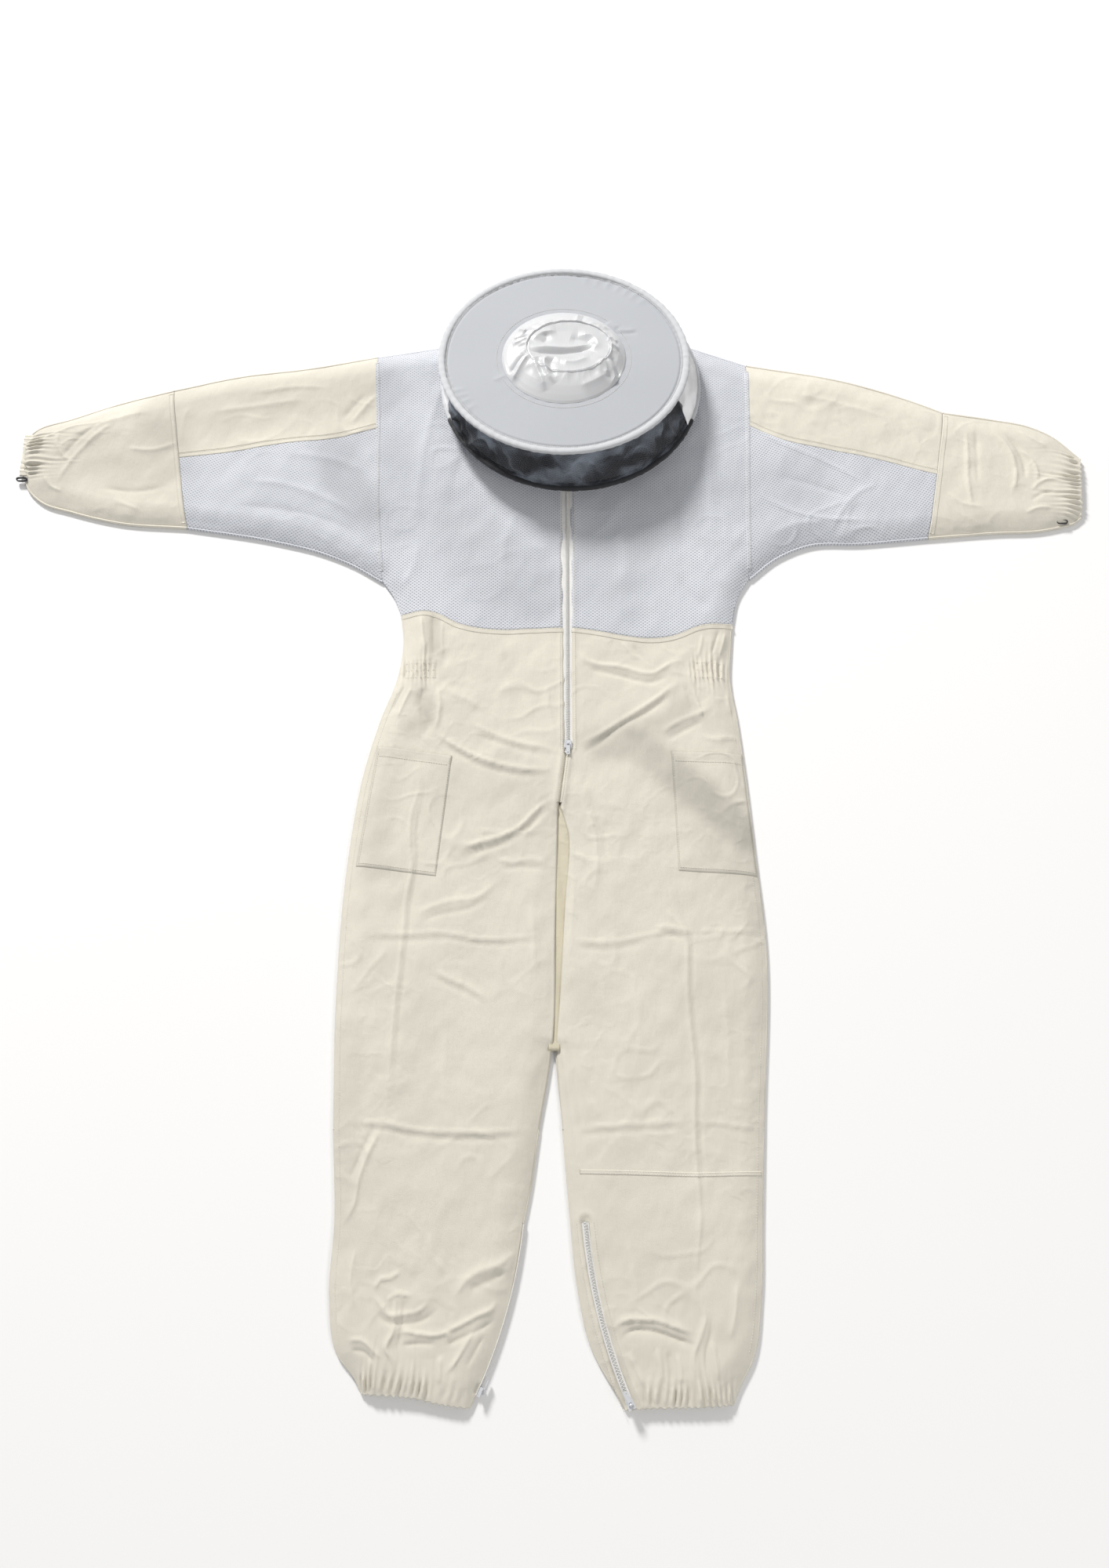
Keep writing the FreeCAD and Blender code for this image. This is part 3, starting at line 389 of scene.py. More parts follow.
def distance(points, line, chunk=20000):
    """How far each point in plan is from a line, its side (+1 on the left), and the share along it."""
    a, b = line[:-1], line[1:]
    d = b - a
    squares = np.maximum((d * d).sum(1), 1e-18)
    starts = np.r_[0, np.cumsum(np.sqrt(squares))]
    far, side, share = (np.empty(len(points)) for _ in range(3))
    for i in range(0, len(points), chunk):
        p = points[i:i + chunk, None]
        t = np.clip(((p - a) * d).sum(-1) / squares, 0, 1)
        gap = p - (a + t[..., None] * d)
        squared = (gap ** 2).sum(-1)
        k = squared.argmin(1)
        row = np.arange(len(k))
        far[i:i + chunk] = np.sqrt(squared[row, k])
        side[i:i + chunk] = np.sign(d[k, 0] * gap[row, k, 1] - d[k, 1] * gap[row, k, 0])
        share[i:i + chunk] = (starts[k] + t[row, k] * np.sqrt(squares[k])) / starts[-1]
    return far, side, share


def near(points, line, reach):
    """Which points lie in the line's box, grown by reach."""
    low, high = line.min(0) - reach, line.max(0) + reach
    return ((points > low) & (points < high)).all(1)


def ripple(points, seed, size, stretch=1.0, turn=0.0):
    """Smooth noise between about -1 and 1: a sum of sixteen plane waves about size metres long.

    Each wave's direction and phase come from the seed; stretch lengthens them along turn degrees.
    """
    draw = np.random.default_rng(seed)
    angle, phase = draw.uniform(0, TAU, 16), draw.uniform(0, TAU, 16)
    pitch = size * draw.uniform(0.7, 1.6, 16)
    c, s = math.cos(math.radians(turn)), math.sin(math.radians(turn))
    x = (points[:, 0] * c + points[:, 1] * s) / stretch
    y = -points[:, 0] * s + points[:, 1] * c
    waves = np.sin(TAU * (x[:, None] * np.cos(angle) + y[:, None] * np.sin(angle)) / pitch + phase)
    return waves.sum(1) / 5.6


# ------------------------------------------------------------------ the cloth's height over the floor

EDGES = []
for name in SIDES:
    EDGES += [(1.0, line) for line in (
        smooth(SIDE_WAIST[name] + SIDE_LEG[name][1:], 90), smooth(OVERARM[name], 40),
        smooth(UNDERARM[name], 40), smooth(FOREARM_TOP[name], 40), smooth(FOREARM_UNDER[name], 40),
        smooth(SHIN_OUTER[name], 40), smooth(SHIN_INNER[name], 40), smooth(INSIDE_LEG[name][-2:], 12),
        straight(ARMHOLE[name][0], SHOULDER[name], (NECK[0] + OUT[name] * 70, 748)))]
    EDGES += [(0.35, smooth(INSIDE_FRONT[name][:-1], 60)), (0.45, smooth(HEM[name], 30)),
              (0.45, straight(FOREARM_TOP[name][-1], FOREARM_UNDER[name][-1]))]
FOLD_GAIN, FOLD_WIDTH = 1.15, 0.5
ROLL_REACH = 0.034
ROLL_POWER = 1.7
RIM_LEVEL = 0.0046
ROLL_HEIGHT = 0.0106
TOOTH_PITCH = 0.0020
FOLD_LINES = [(high * MM, left * MM * FOLD_WIDTH, right * MM * FOLD_WIDTH, smooth(points, 60))
              for high, left, right, points in FOLDS]
PAINTED_SHADE_LINES = [(amount, width * MM, smooth(points, 30)) for amount, width, points in PAINTED_SHADE]
ZIP_ARCS = {name: arc_line(ANKLE_CENTRE[name], ANKLE_RADIUS[name], ANKLE_TOP_ANGLE[name],
                           ANKLE_TOP_ANGLE[name] + OUT[name] * 20) for name in SIDES}


def edge_roll(points):
    """Rise from the cloth's rim, 0, to its full height, 1: 1 - (1 - d / 34 mm)^1.7.

    An edge that lies over other cloth drops by only its own share of that.
    """
    nearest, roll = np.full(len(points), 1.0), np.ones(len(points))
    for share, line in EDGES:
        mine = near(points, line, ROLL_REACH + 0.002)
        if mine.any():
            far = distance(points[mine], line)[0]
            nearest[mine] = np.minimum(nearest[mine], far)
            drop = share * (1 - np.clip(far / ROLL_REACH, 0, 1)) ** ROLL_POWER
            roll[mine] = np.minimum(roll[mine], 1 - drop)
    return roll, nearest


def creases(points):
    """Sum of the folds: height * exp(-(d / width)^1.25), easing out over each fold's last quarter."""
    z = np.zeros(len(points))
    for high, left, right, line in FOLD_LINES:
        mine = near(points, line, 4.0 * max(left, right))
        if not mine.any():
            continue
        far, side, share = distance(points[mine], line)
        width = np.where(side > 0, left, right)
        ease = np.clip(np.minimum(share, 1 - share) * 4, 0, 1)
        z[mine] += FOLD_GAIN * high * np.exp(-(far / width) ** 1.25) * (ease * ease * (3 - 2 * ease))
    return z


def gathers(points):
    """Sum of the elastics' gathers: sine ridges that wander as they run out on either side."""
    z = np.zeros(len(points))
    for number, (centre, turn, length, pitch, high, inside, reach) in enumerate(GATHERS):
        c, s = math.cos(math.radians(turn)), math.sin(math.radians(turn))
        p = points / MM - np.array(centre)
        x, y = p[:, 0] * c + p[:, 1] * s, -p[:, 0] * s + p[:, 1] * c
        mine = (np.abs(x) < length) & (np.abs(y) < 5 * reach)
        if not mine.any():
            continue
        x, y = x[mine], y[mine]
        wander = 1.6 * np.sin(y / 17 + x / 19 + number) + 1.3 * np.sin(x / 9 + 2 * number)
        window = np.clip((length / 2 + 4 - np.abs(x)) / 9, 0, 1)
        long_pleat = 0.6 + 0.9 * np.clip(np.sin(x / 7.3 + 3 * number) + np.sin(x / 4.1 + number), 0, 2)
        fade = np.exp(-np.clip(np.abs(y) - inside, 0, None) / (reach * long_pleat))
        uneven = 0.72 + 0.28 * np.sin(x / 6.1 + number)
        ridge = np.sin(TAU * x / pitch + wander) + 0.35 * np.sin(TAU * x / pitch / 2.3 + number)
        z[mine] += high * MM * window * fade * ridge * uneven
    return z


def front_height(points):
    """Height of the front cloth over the floor at points in plan.

    It is the rim height plus the edge roll, with the folds, gathers and soft swell riding on it.
    """
    roll, nearest = edge_roll(points)
    detail = creases(points) + gathers(points)
    detail += 0.0013 * ripple(points, 3, 0.13) + 0.00055 * ripple(points, 5, 0.045)
    detail += 0.00020 * ripple(points, 8, 0.020, 1.8, 60)
    small = ripple(points, 31, 0.055, 1.5, 35)
    detail += 0.0013 * np.exp(-(small / 0.16) ** 2) * np.clip(ripple(points, 33, 0.16), 0, 1)
    z = RIM_LEVEL + ROLL_HEIGHT * roll + detail * np.clip(nearest / 0.010, 0.25, 1)
    far = distance(points, ZIP_ARCS["left"])[0]
    z -= 0.0030 * np.exp(-(far / 0.0055) ** 2) - 0.0012 * np.exp(-((far - 0.011) / 0.003) ** 2)
    for name in SIDES:
        fly = joined(smooth(CHEST_SEAM[name][-1:] + [(NECK[0] + OUT[name] * 7, 568)], 20)[::-1],
                     straight(*FLY[name]))
        mine = near(points, fly, 0.03)
        far = distance(points[mine], fly)[0] if mine.any() else 0
        z[mine] += 0.0012 * np.exp(-((far - 0.0055) / 0.0035) ** 2) - 0.0022 * np.exp(-(far / 0.0022) ** 2)
    return z


def tone(points):
    """Colour share left at each point: 1 where no shade is painted. Painted shadows take it down, each fold
    and gather gets a painted lighter crest and darker valley, and a faint random mottle rides on it.
    """
    value = np.ones(len(points))
    for amount, width, line in PAINTED_SHADE_LINES:
        mine = near(points, line, 1.6 * width)
        if mine.any():
            far = distance(points[mine], line)[0]
            value[mine] -= amount * np.exp(-(far / width) ** 4)
    # painted light and shade: fold and gather crests lighter, their valleys darker
    value += np.clip(14 * creases(points), -0.08, 0.04) + np.clip(45 * gathers(points), -0.15, 0.05)
    return value + 0.012 * ripple(points, 21, 0.09)


def back_height(points):
    """Height of the back cloth: flat on the floor, lifting a little at the rim."""
    roll, _ = edge_roll(points)
    return 0.0024 - 0.0012 * roll + 0.0003 * ripple(points, 12, 0.06)


# ------------------------------------------------------------------ sizes and colours a user may change

def shade(red, green, blue):
    """A colour given as 0 to 255 display values, as the shader's linear values."""
    return tuple(round((c / 12.92 if c <= 0.04045 else ((c + 0.055) / 1.055) ** 2.4), 4)
                 for c in (red / 255, green / 255, blue / 255))


def colour(name, description, *display):
    return bpy.props.FloatVectorProperty(name=name, description=description, subtype="COLOR", size=3,
                                         min=0, max=1, default=shade(*display))


def metres(name, description, default):
    return bpy.props.FloatProperty(name=name, description=description, default=default, min=0.0001,
                                   precision=4, unit="LENGTH")


def number(name, description, default, low=0.0, high=100.0):
    return bpy.props.FloatProperty(name=name, description=description, default=default, min=low, max=high)


class SuitCloth(bpy.types.PropertyGroup):
    """The cloth that the coverall is cut from."""
    canvas: colour("Canvas", "Unbleached cotton of the legs, sleeve caps and forearms", 224, 219, 206)
    canvas_dark: colour("Canvas shade", "Darker tone of the canvas in its slubs", 210, 206, 193)
    mesh: colour("Spacer mesh", "Threads of the ventilated chest and under-sleeves", 221, 223, 229)
    # painted shade: the facing's darker, yellower colour stands in for the shade in the gap between the legs
    shaded_facing: colour("Facing", "Yellower cotton seen between the legs", 214, 206, 182)
    # painted shade: the darker hole colour stands in for the shade inside the mesh's holes
    mesh_hole_shade: colour("Mesh holes", "Depth of the holes in the spacer mesh", 172, 177, 186)
    canvas_thickness: metres("Canvas thickness", "Thickness of the cotton", 0.0012)
    mesh_thickness: metres("Mesh thickness", "Thickness of the three-layer mesh", 0.0024)
    thread_pitch: metres("Weave pitch", "Distance from thread to thread in the canvas", 0.0009)
    cell_width: metres("Mesh cell width", "Distance between two rows of holes", 0.0064)
    cell_height: metres("Mesh cell height", "Distance between two holes of a row", 0.0050)


class SuitTrims(bpy.types.PropertyGroup):
    """Zips, thread, seams and elastics."""
    tape: colour("Zip tape", "Woven tape of every zip", 238, 237, 234)
    coil: colour("Zip teeth", "Moulded teeth of every zip", 236, 235, 232)
    enamel: colour("Slider enamel", "Painted zip sliders and pulls", 214, 216, 220)
    thread: colour("Thread", "Sewing thread", 232, 229, 218)
    elastic: colour("Elastic", "Dark elastic of the thumb loops", 40, 42, 48)
    stitch_length: metres("Stitch length", "Length of one stitch", 0.0026)
    stitch_pitch: metres("Stitch pitch", "Distance from stitch to stitch", 0.0036)
    seam_width: metres("Seam width", "Width of a flat-felled seam", 0.0080)


class SuitHead(bpy.types.PropertyGroup):
    """The hat and the veil."""
    hat: colour("Hat cotton", "Smooth cotton of the brim", 178, 181, 186)
    crown: colour("Crown satin", "Satin-faced cotton of the crown", 203, 204, 206)
    binding_white: colour("Brim binding", "Binding round the brim's edge", 204, 206, 209)
    white_net: colour("White net", "Net at the back of the veil", 240, 240, 242)
    black_net: colour("Black net", "See-through net in front of the face", 30, 32, 38)
    binding: colour("Hoop binding", "Dark binding round the front of the hoop", 24, 26, 32)
    steel: colour("Spring wire", "Wire of the hoop and the brim", 170, 172, 176)
    crumple: metres("Crown crumple", "Height of the crown's folds", 0.0042)


class SuitStage(bpy.types.PropertyGroup):
    """Floor, lights and camera."""
    floor: colour("Floor", "Plain pale floor", 250, 250, 250)
    key: number("Key light", "Power in watts of the light beyond the head", 480.0, 0, 2000)
    fill: number("Fill light", "Power in watts of the warm light beyond the feet", 130.0, 0, 1000)
    sky: number("Surround", "Strength of the even light from all round", 0.40, 0, 10)
    lens: number("Lens", "Focal length in millimetres on a 36 mm sensor", 30.6, 10, 200)
    camera_height: metres("Camera height", "Height of the camera over the floor", 1.88)
    camera_angle: number("Camera tilt", "Degrees the camera looks down", 72.0, 10, 90)


# ------------------------------------------------------------------ finishes

class Finish:
    """A material being put together round one shader, with short calls that add its nodes."""

    def __init__(self, name, base, roughness, **sockets):
        self.material = bpy.data.materials.new(name)
        self.material.use_nodes = True
        self.tree = self.material.node_tree
        self.shader = self.tree.nodes["Principled BSDF"]
        self.shader.inputs["Base Color"].default_value = (*base, 1)
        self.shader.inputs["Roughness"].default_value = roughness
        for socket, value in sockets.items():
            self.shader.inputs[socket.replace("_", " ")].default_value = value
        self.uv = self.node("ShaderNodeUVMap", uv_map="cloth").outputs["UV"]

    def node(self, kind, **settings):
        made = self.tree.nodes.new(kind)
        for key, value in settings.items():
            setattr(made, key, value)
        return made

    def give(self, socket, value):
        """Links an output to a socket, or sets the socket to a number or colour."""
        if isinstance(value, bpy.types.NodeSocket):
            self.tree.links.new(value, socket)
        else:
            socket.default_value = value

    def maths(self, operation, a, b=0.0):
        made = self.node("ShaderNodeMath", operation=operation)
        self.give(made.inputs[0], a)
        self.give(made.inputs[1], b)
        return made.outputs[0]

    def waves(self, source, pitch_x, pitch_y):
        """sin(2 pi x / pitch_x) * sin(2 pi y / pitch_y) of a vector."""
        parts = self.node("ShaderNodeSeparateXYZ")
        self.give(parts.inputs[0], source)
        x = self.maths("SINE", self.maths("MULTIPLY", parts.outputs[0], TAU / pitch_x))
        y = self.maths("SINE", self.maths("MULTIPLY", parts.outputs[1], TAU / pitch_y))
        return self.maths("MULTIPLY", x, y)

    def noise(self, source, scale, detail=2.0, stretch=(1, 1, 1)):
        spread = self.node("ShaderNodeMapping")
        self.give(spread.inputs["Vector"], source)
        spread.inputs["Scale"].default_value = stretch
        made = self.node("ShaderNodeTexNoise")
        self.give(made.inputs["Vector"], spread.outputs[0])
        made.inputs["Scale"].default_value = scale
        made.inputs["Detail"].default_value = detail
        return made.outputs[0]

    def creased(self, scale, width):
        """Thin winding ridges: high where a slow noise passes through its middle value."""
        off = self.maths("ABSOLUTE", self.maths("SUBTRACT", self.noise(self.uv, scale, 2), 0.5))
        return self.maths("SUBTRACT", 1.0, self.ramp(off, 0.0, width))

    def ramp(self, value, low, high):
        """0 below low, 1 above high, smooth between."""
        made = self.node("ShaderNodeMapRange", interpolation_type="SMOOTHSTEP")
        self.give(made.inputs["Value"], value)
        made.inputs["From Min"].default_value = low
        made.inputs["From Max"].default_value = high
        return made.outputs[0]

    def mix(self, share, a, b, blend="MIX"):
        made = self.node("ShaderNodeMix", data_type="RGBA", blend_type=blend)
        self.give(made.inputs["Factor"], share)
        self.give(made.inputs["A"], (*a, 1) if isinstance(a, (tuple, list)) else a)
        self.give(made.inputs["B"], (*b, 1) if isinstance(b, (tuple, list)) else b)
        return made.outputs["Result"]

    def with_painted_shade_and_mottle(self, source):
        """The colour times the piece's own tone attribute, which holds its painted shade and light and a
        faint random mottle.
        """
        painted_shade_and_mottle_value = self.node("ShaderNodeAttribute", attribute_name="tone").outputs["Fac"]
        grey = self.node("ShaderNodeCombineColor")
        for socket in grey.inputs:
            self.give(socket, painted_shade_and_mottle_value)
        return self.mix(1.0, source, grey.outputs[0], "MULTIPLY")

    def colour(self, value):
        self.give(self.shader.inputs["Base Color"], value)

    def bump(self, height, depth, strength=1.0):
        made = self.node("ShaderNodeBump")
        made.inputs["Strength"].default_value = strength
        made.inputs["Distance"].default_value = depth
        self.give(made.inputs["Height"], height)
        self.give(self.shader.inputs["Normal"], made.outputs[0])


def canvas_finish(name="canvas", light=None):
    """Unbleached cotton: a plain weave with slubs, fine creases, a cloudy tone and a soft sheen."""
    cloth = bpy.context.scene.suit_cloth
    light = light or tuple(cloth.canvas)
    f = Finish(name, light, 0.86, Sheen_Weight=0.08, Specular_IOR_Level=0.22)
    slubs = f.noise(f.uv, 260, 3, (1, 0.22, 1))
    cloud = f.noise(f.uv, 6, 3)
    base = f.mix(f.maths("MULTIPLY", f.ramp(cloud, 0.35, 0.75), 0.25), light, tuple(cloth.canvas_dark))
    base = f.mix(f.maths("MULTIPLY", f.ramp(slubs, 0.45, 0.85), 0.30), base, tuple(cloth.canvas_dark))
    f.colour(f.with_painted_shade_and_mottle(base))
    weave = f.waves(f.uv, cloth.thread_pitch * 2, cloth.thread_pitch * 2)
    height = f.maths("ADD", f.maths("MULTIPLY", weave, 0.2), f.maths("MULTIPLY", slubs, 0.8))
    height = f.maths("ADD", height, f.noise(f.uv, 900, 2))
    folds = f.maths("MULTIPLY", f.creased(22, 0.10), f.ramp(f.noise(f.uv, 5, 2), 0.42, 0.62))
    height = f.maths("ADD", height, f.maths("MULTIPLY", folds, 1.1))
    height = f.maths("ADD", height, f.maths("MULTIPLY", f.noise(f.uv, 38, 3), 3.2))
    f.bump(height, 0.0006, 0.6)
    return f.material


def shaded_facing_finish():
    return canvas_finish("shaded_facing", tuple(bpy.context.scene.suit_cloth.shaded_facing))


def mesh_finish():
    """Three-layer spacer mesh: staggered oval holes in a knitted face, the holes coloured darker as painted
    shade.
    """
    cloth = bpy.context.scene.suit_cloth
    f = Finish("spacer_mesh", tuple(cloth.mesh), 0.8, Sheen_Weight=0.1, Specular_IOR_Level=0.3)
    cells = f.waves(f.uv, cloth.cell_width, cloth.cell_height)
    holes = f.ramp(cells, 0.22, 0.75)
    ribs = f.waves(f.uv, 0.0011, 0.0016)
    cloud = f.noise(f.uv, 5, 2)
    # painted shade in the holes; the cloud darkens the knit at random towards the same colour
    base = f.mix(holes, tuple(cloth.mesh), tuple(cloth.mesh_hole_shade))
    base = f.mix(f.maths("MULTIPLY", f.ramp(cloud, 0.3, 0.7), 0.22), base, tuple(cloth.mesh_hole_shade))
    f.colour(f.with_painted_shade_and_mottle(base))
    height = f.maths("ADD", f.maths("MULTIPLY", holes, -1.0), f.maths("MULTIPLY", ribs, 0.12))
    f.bump(height, 0.0011, 0.7)
    return f.material


def hat_finish():
    """Smooth bleached cotton with a fine weave."""
    head = bpy.context.scene.suit_head
    f = Finish("hat_cotton", tuple(head.hat), 0.68, Sheen_Weight=0.1, Specular_IOR_Level=0.35)
    cloud = f.noise(f.uv, 7, 4)
    base = f.mix(f.maths("MULTIPLY", f.ramp(cloud, 0.3, 0.8), 0.10), tuple(head.hat), (0.42, 0.44, 0.48))
    f.colour(f.with_painted_shade_and_mottle(base))
    weave = f.waves(f.uv, 0.0010, 0.0010)
    f.bump(f.maths("ADD", f.maths("MULTIPLY", weave, 0.3), f.noise(f.uv, 500, 3)), 0.0004, 0.4)
    return f.material


def crown_finish():
    """Satin-faced cotton: brighter and smoother than the brim."""
    head = bpy.context.scene.suit_head
    f = Finish("crown_satin", tuple(head.crown), 0.34, Sheen_Weight=0.1, Specular_IOR_Level=0.5)
    grain = f.noise(f.uv, 420, 3, (1, 0.15, 1))
    base = f.mix(f.maths("MULTIPLY", grain, 0.10), tuple(head.crown), (0.50, 0.52, 0.56))
    f.colour(f.with_painted_shade_and_mottle(base))
    f.bump(grain, 0.0004, 0.35)
    return f.material


def binding_finish():
    """Folded white binding with a ribbed face."""
    head = bpy.context.scene.suit_head
    f = Finish("hat_binding", tuple(head.binding_white), 0.6, Sheen_Weight=0.1)
    ribs = f.waves(f.uv, 0.0018, 0.0018)
    uneven = f.maths("MULTIPLY", f.noise(f.uv, 60, 3), 0.15)
    base = f.mix(uneven, tuple(head.binding_white), (0.5, 0.52, 0.55))
    f.colour(f.with_painted_shade_and_mottle(base))
    f.bump(ribs, 0.0004, 0.5)
    return f.material


def net_finish(name, base, cover, pitch, roughness):
    """Net: threads round open cells, so that what lies behind shows through, with painted sheen in lighter
    streaks.
    """
    f = Finish(name, base, roughness, Specular_IOR_Level=0.3, Sheen_Weight=0.15)
    cells = f.waves(f.uv, pitch * 2, pitch * 2)
    holes = f.ramp(f.maths("ABSOLUTE", cells), 0.25, 0.7)
    # painted sheen: lighter, bluer streaks painted into the net's colour stand in for the light on its folds
    sheen_tint = tuple(c * 1.4 + more * (1 - c) for c, more in zip(base, (0.26, 0.30, 0.36)))
    painted_sheen = f.ramp(f.noise(f.uv, 26, 4, (0.5, 1.3, 1)), 0.42, 0.72)
    f.colour(f.with_painted_shade_and_mottle(f.mix(painted_sheen, base, sheen_tint)))
    f.give(f.shader.inputs["Alpha"], f.maths("SUBTRACT", 1.0, f.maths("MULTIPLY", holes, 1 - cover)))
    f.bump(holes, -0.0004, 0.4)
    return f.material


def black_net_finish():
    return net_finish("black_net", tuple(bpy.context.scene.suit_head.black_net), 0.34, 0.0013, 0.6)


def white_net_finish():
    return net_finish("white_net", tuple(bpy.context.scene.suit_head.white_net), 0.8, 0.0015, 0.7)


def ribbed_finish(name, base, roughness, pitch, depth, dirt=0.25, **sockets):
    """A finish whose face has fine ribs and a faint uneven tone: tapes, elastics, thread."""
    f = Finish(name, base, roughness, **sockets)
    darker = tuple(c * 0.72 for c in base)
    uneven = f.maths("MULTIPLY", f.ramp(f.noise(f.uv, 130, 3), 0.35, 0.8), dirt)
    f.colour(f.with_painted_shade_and_mottle(f.mix(uneven, base, darker)))
    f.bump(f.waves(f.uv, pitch * 4, pitch), depth, 0.5)
    return f.material


def tape_finish():
    return ribbed_finish("zip_tape", tuple(bpy.context.scene.suit_trims.tape), 0.75, 0.0010, 0.0003,
                         Sheen_Weight=0.1)


def coil_finish():
    return ribbed_finish("zip_teeth", tuple(bpy.context.scene.suit_trims.coil), 0.35, 0.0006, 0.0001)


def thread_finish():
    return ribbed_finish("thread", tuple(bpy.context.scene.suit_trims.thread), 0.7, 0.0006, 0.0001)


def elastic_finish():
    return ribbed_finish("black_elastic", tuple(bpy.context.scene.suit_trims.elastic), 0.6, 0.0012, 0.0004,
                         Sheen_Weight=0.2)


def dark_binding_finish():
    return ribbed_finish("dark_binding", tuple(bpy.context.scene.suit_head.binding), 0.62, 0.0016, 0.0004,
                         Sheen_Weight=0.15)


def object_noise(f, scale):
    """Noise in the piece's own space, for hard parts that have no cloth map."""
    place = f.node("ShaderNodeTexCoord").outputs["Object"]
    return f.noise(place, scale, 4)


def enamel_finish():
    """White enamel on die-cast zinc, worn to grey in places."""
    base = tuple(bpy.context.scene.suit_trims.enamel)
    f = Finish("slider_enamel", base, 0.32, Coat_Weight=0.3, Coat_Roughness=0.2)
    worn = f.ramp(object_noise(f, 420), 0.55, 0.75)
    f.colour(f.mix(f.maths("MULTIPLY", worn, 0.5), base, (0.33, 0.34, 0.36)))
    f.bump(object_noise(f, 900), 0.0002, 0.3)
    return f.material


def steel_finish():
    """Drawn spring steel."""
    base = tuple(bpy.context.scene.suit_head.steel)
    f = Finish("spring_wire", base, 0.3, Metallic=1.0)
    f.colour(f.mix(object_noise(f, 300), base, tuple(c * 0.6 for c in base)))
    f.bump(object_noise(f, 1500), 0.0001, 0.3)
    return f.material


FINISHES = {"canvas": canvas_finish, "shaded_facing": shaded_facing_finish,
            "spacer_mesh": mesh_finish, "hat_cloth": hat_finish,
            "crown": crown_finish, "hat_binding": binding_finish, "black_net": black_net_finish,
            "white_net": white_net_finish, "zip_tape": tape_finish, "zip_teeth": coil_finish,
            "thread": thread_finish, "black_elastic": elastic_finish, "dark_binding": dark_binding_finish,
            "slider_enamel": enamel_finish, "spring_wire": steel_finish}
MADE = {}


def finish(name):
    """The material of that name, made the first time that it is asked for."""
    if name not in MADE:
        MADE[name] = FINISHES[name]()
    return MADE[name]


# ------------------------------------------------------------------ meshes

def grid_faces(rows, columns, around=False):
    """Quads between neighbouring rows and columns of a grid; around joins the last column to the first."""
    i = np.arange(rows - 1)[:, None]
    j = np.arange(columns if around else columns - 1)[None, :]
    a, b = i * columns + j, i * columns + (j + 1) % columns
    return np.stack([a, b, b + columns, a + columns], -1).reshape(-1, 4)


def new_piece(name, points, faces, material, uv=None, painted_shade_and_mottle=None, flat_shaded=False):
    """An object whose place is in its mesh, with a cloth map in metres and a tone for each point that holds
    its painted shade and light.
    """
    points = np.asarray(points, float).reshape(-1, 3)
    faces = [part for part in (faces if isinstance(faces, list) else [faces]) if len(part)]
    corners = np.concatenate([part.ravel() for part in faces])
    sizes = np.concatenate([np.full(len(part), part.shape[1]) for part in faces])
    mesh = bpy.data.meshes.new(name)
    mesh.vertices.add(len(points))
    mesh.loops.add(len(corners))
    mesh.polygons.add(len(sizes))
    mesh.vertices.foreach_set("co", points.astype(np.float32).ravel())
    mesh.polygons.foreach_set("loop_start", np.r_[0, np.cumsum(sizes)[:-1]].astype(np.int32))
    mesh.polygons.foreach_set("vertices", corners.astype(np.int32))
    mesh.polygons.foreach_set("use_smooth", np.full(len(sizes), not flat_shaded))
    mesh.update(calc_edges=True)
    uv = points[:, :2] if uv is None else np.asarray(uv, float).reshape(-1, 2)
    layer = mesh.uv_layers.new(name="cloth")
    layer.data.foreach_set("uv", uv[corners].astype(np.float32).ravel())
    with_painted_shade_and_mottle = mesh.attributes.new("tone", "FLOAT", "POINT")
    values = np.ones(len(points)) if painted_shade_and_mottle is None else np.asarray(painted_shade_and_mottle).ravel()
    with_painted_shade_and_mottle.data.foreach_set("value", values.astype(np.float32))
    if mesh.validate():
        raise RuntimeError(f"{name} has faces that the mesh can't hold")
    mesh.materials.append(finish(material))
    made = bpy.data.objects.new(name, mesh)
    bpy.context.collection.objects.link(made)
    return made


def thicken(piece, thickness):
    """Gives a sheet its thickness on the side away from its normals."""
    wall = piece.modifiers.new("thickness", "SOLIDIFY")
    wall.thickness = thickness
    wall.offset = -1
    return piece


def settle(piece, body=None, bend=None, replaces=()):
    """Attaches a piece to the body that it moves with, or, when it is given a bend, only bakes its place into
    its mesh; hides the CAD parts that it stands for.
    """
    if bend:
        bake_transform(piece)
    else:
        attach(piece, body)
    if replaces:
        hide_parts(*replaces)
    return piece


def turned(points, degrees):
    """Points in plan turned about the origin, so that a weave can follow a limb."""
    c, s = math.cos(math.radians(degrees)), math.sin(math.radians(degrees))
    return np.stack([points[:, 0] * c + points[:, 1] * s, -points[:, 0] * s + points[:, 1] * c], -1)


def panel(name, lines, across, down, height, material, thickness, upwards=True, grain=0.0, painted_edge_shade=None):
    """A cloth panel: a Coons patch in plan, lifted to the height that the cloth has there.

    The cloth's tone is the painted shade and light of its place, less any painted shade along its edge.
    """
    plan = patch(*lines, across, down)
    rows, columns = plan.shape[:2]
    flat = plan.reshape(-1, 2)
    faces = grid_faces(rows, columns)
    a, b, c = flat[faces[:, 0]], flat[faces[:, 1]], flat[faces[:, 3]]
    turning = (b - a)[:, 0] * (c - a)[:, 1] - (b - a)[:, 1] * (c - a)[:, 0]
    if (turning.sum() > 0) != upwards:
        faces = faces[:, ::-1]
    painted_shade_and_mottle = tone(flat) - (painted_edge_shade(flat) if painted_edge_shade else 0)
    piece = new_piece(name, np.c_[flat, height(flat)], faces, material, turned(flat, grain), painted_shade_and_mottle)
    return thicken(piece, thickness)


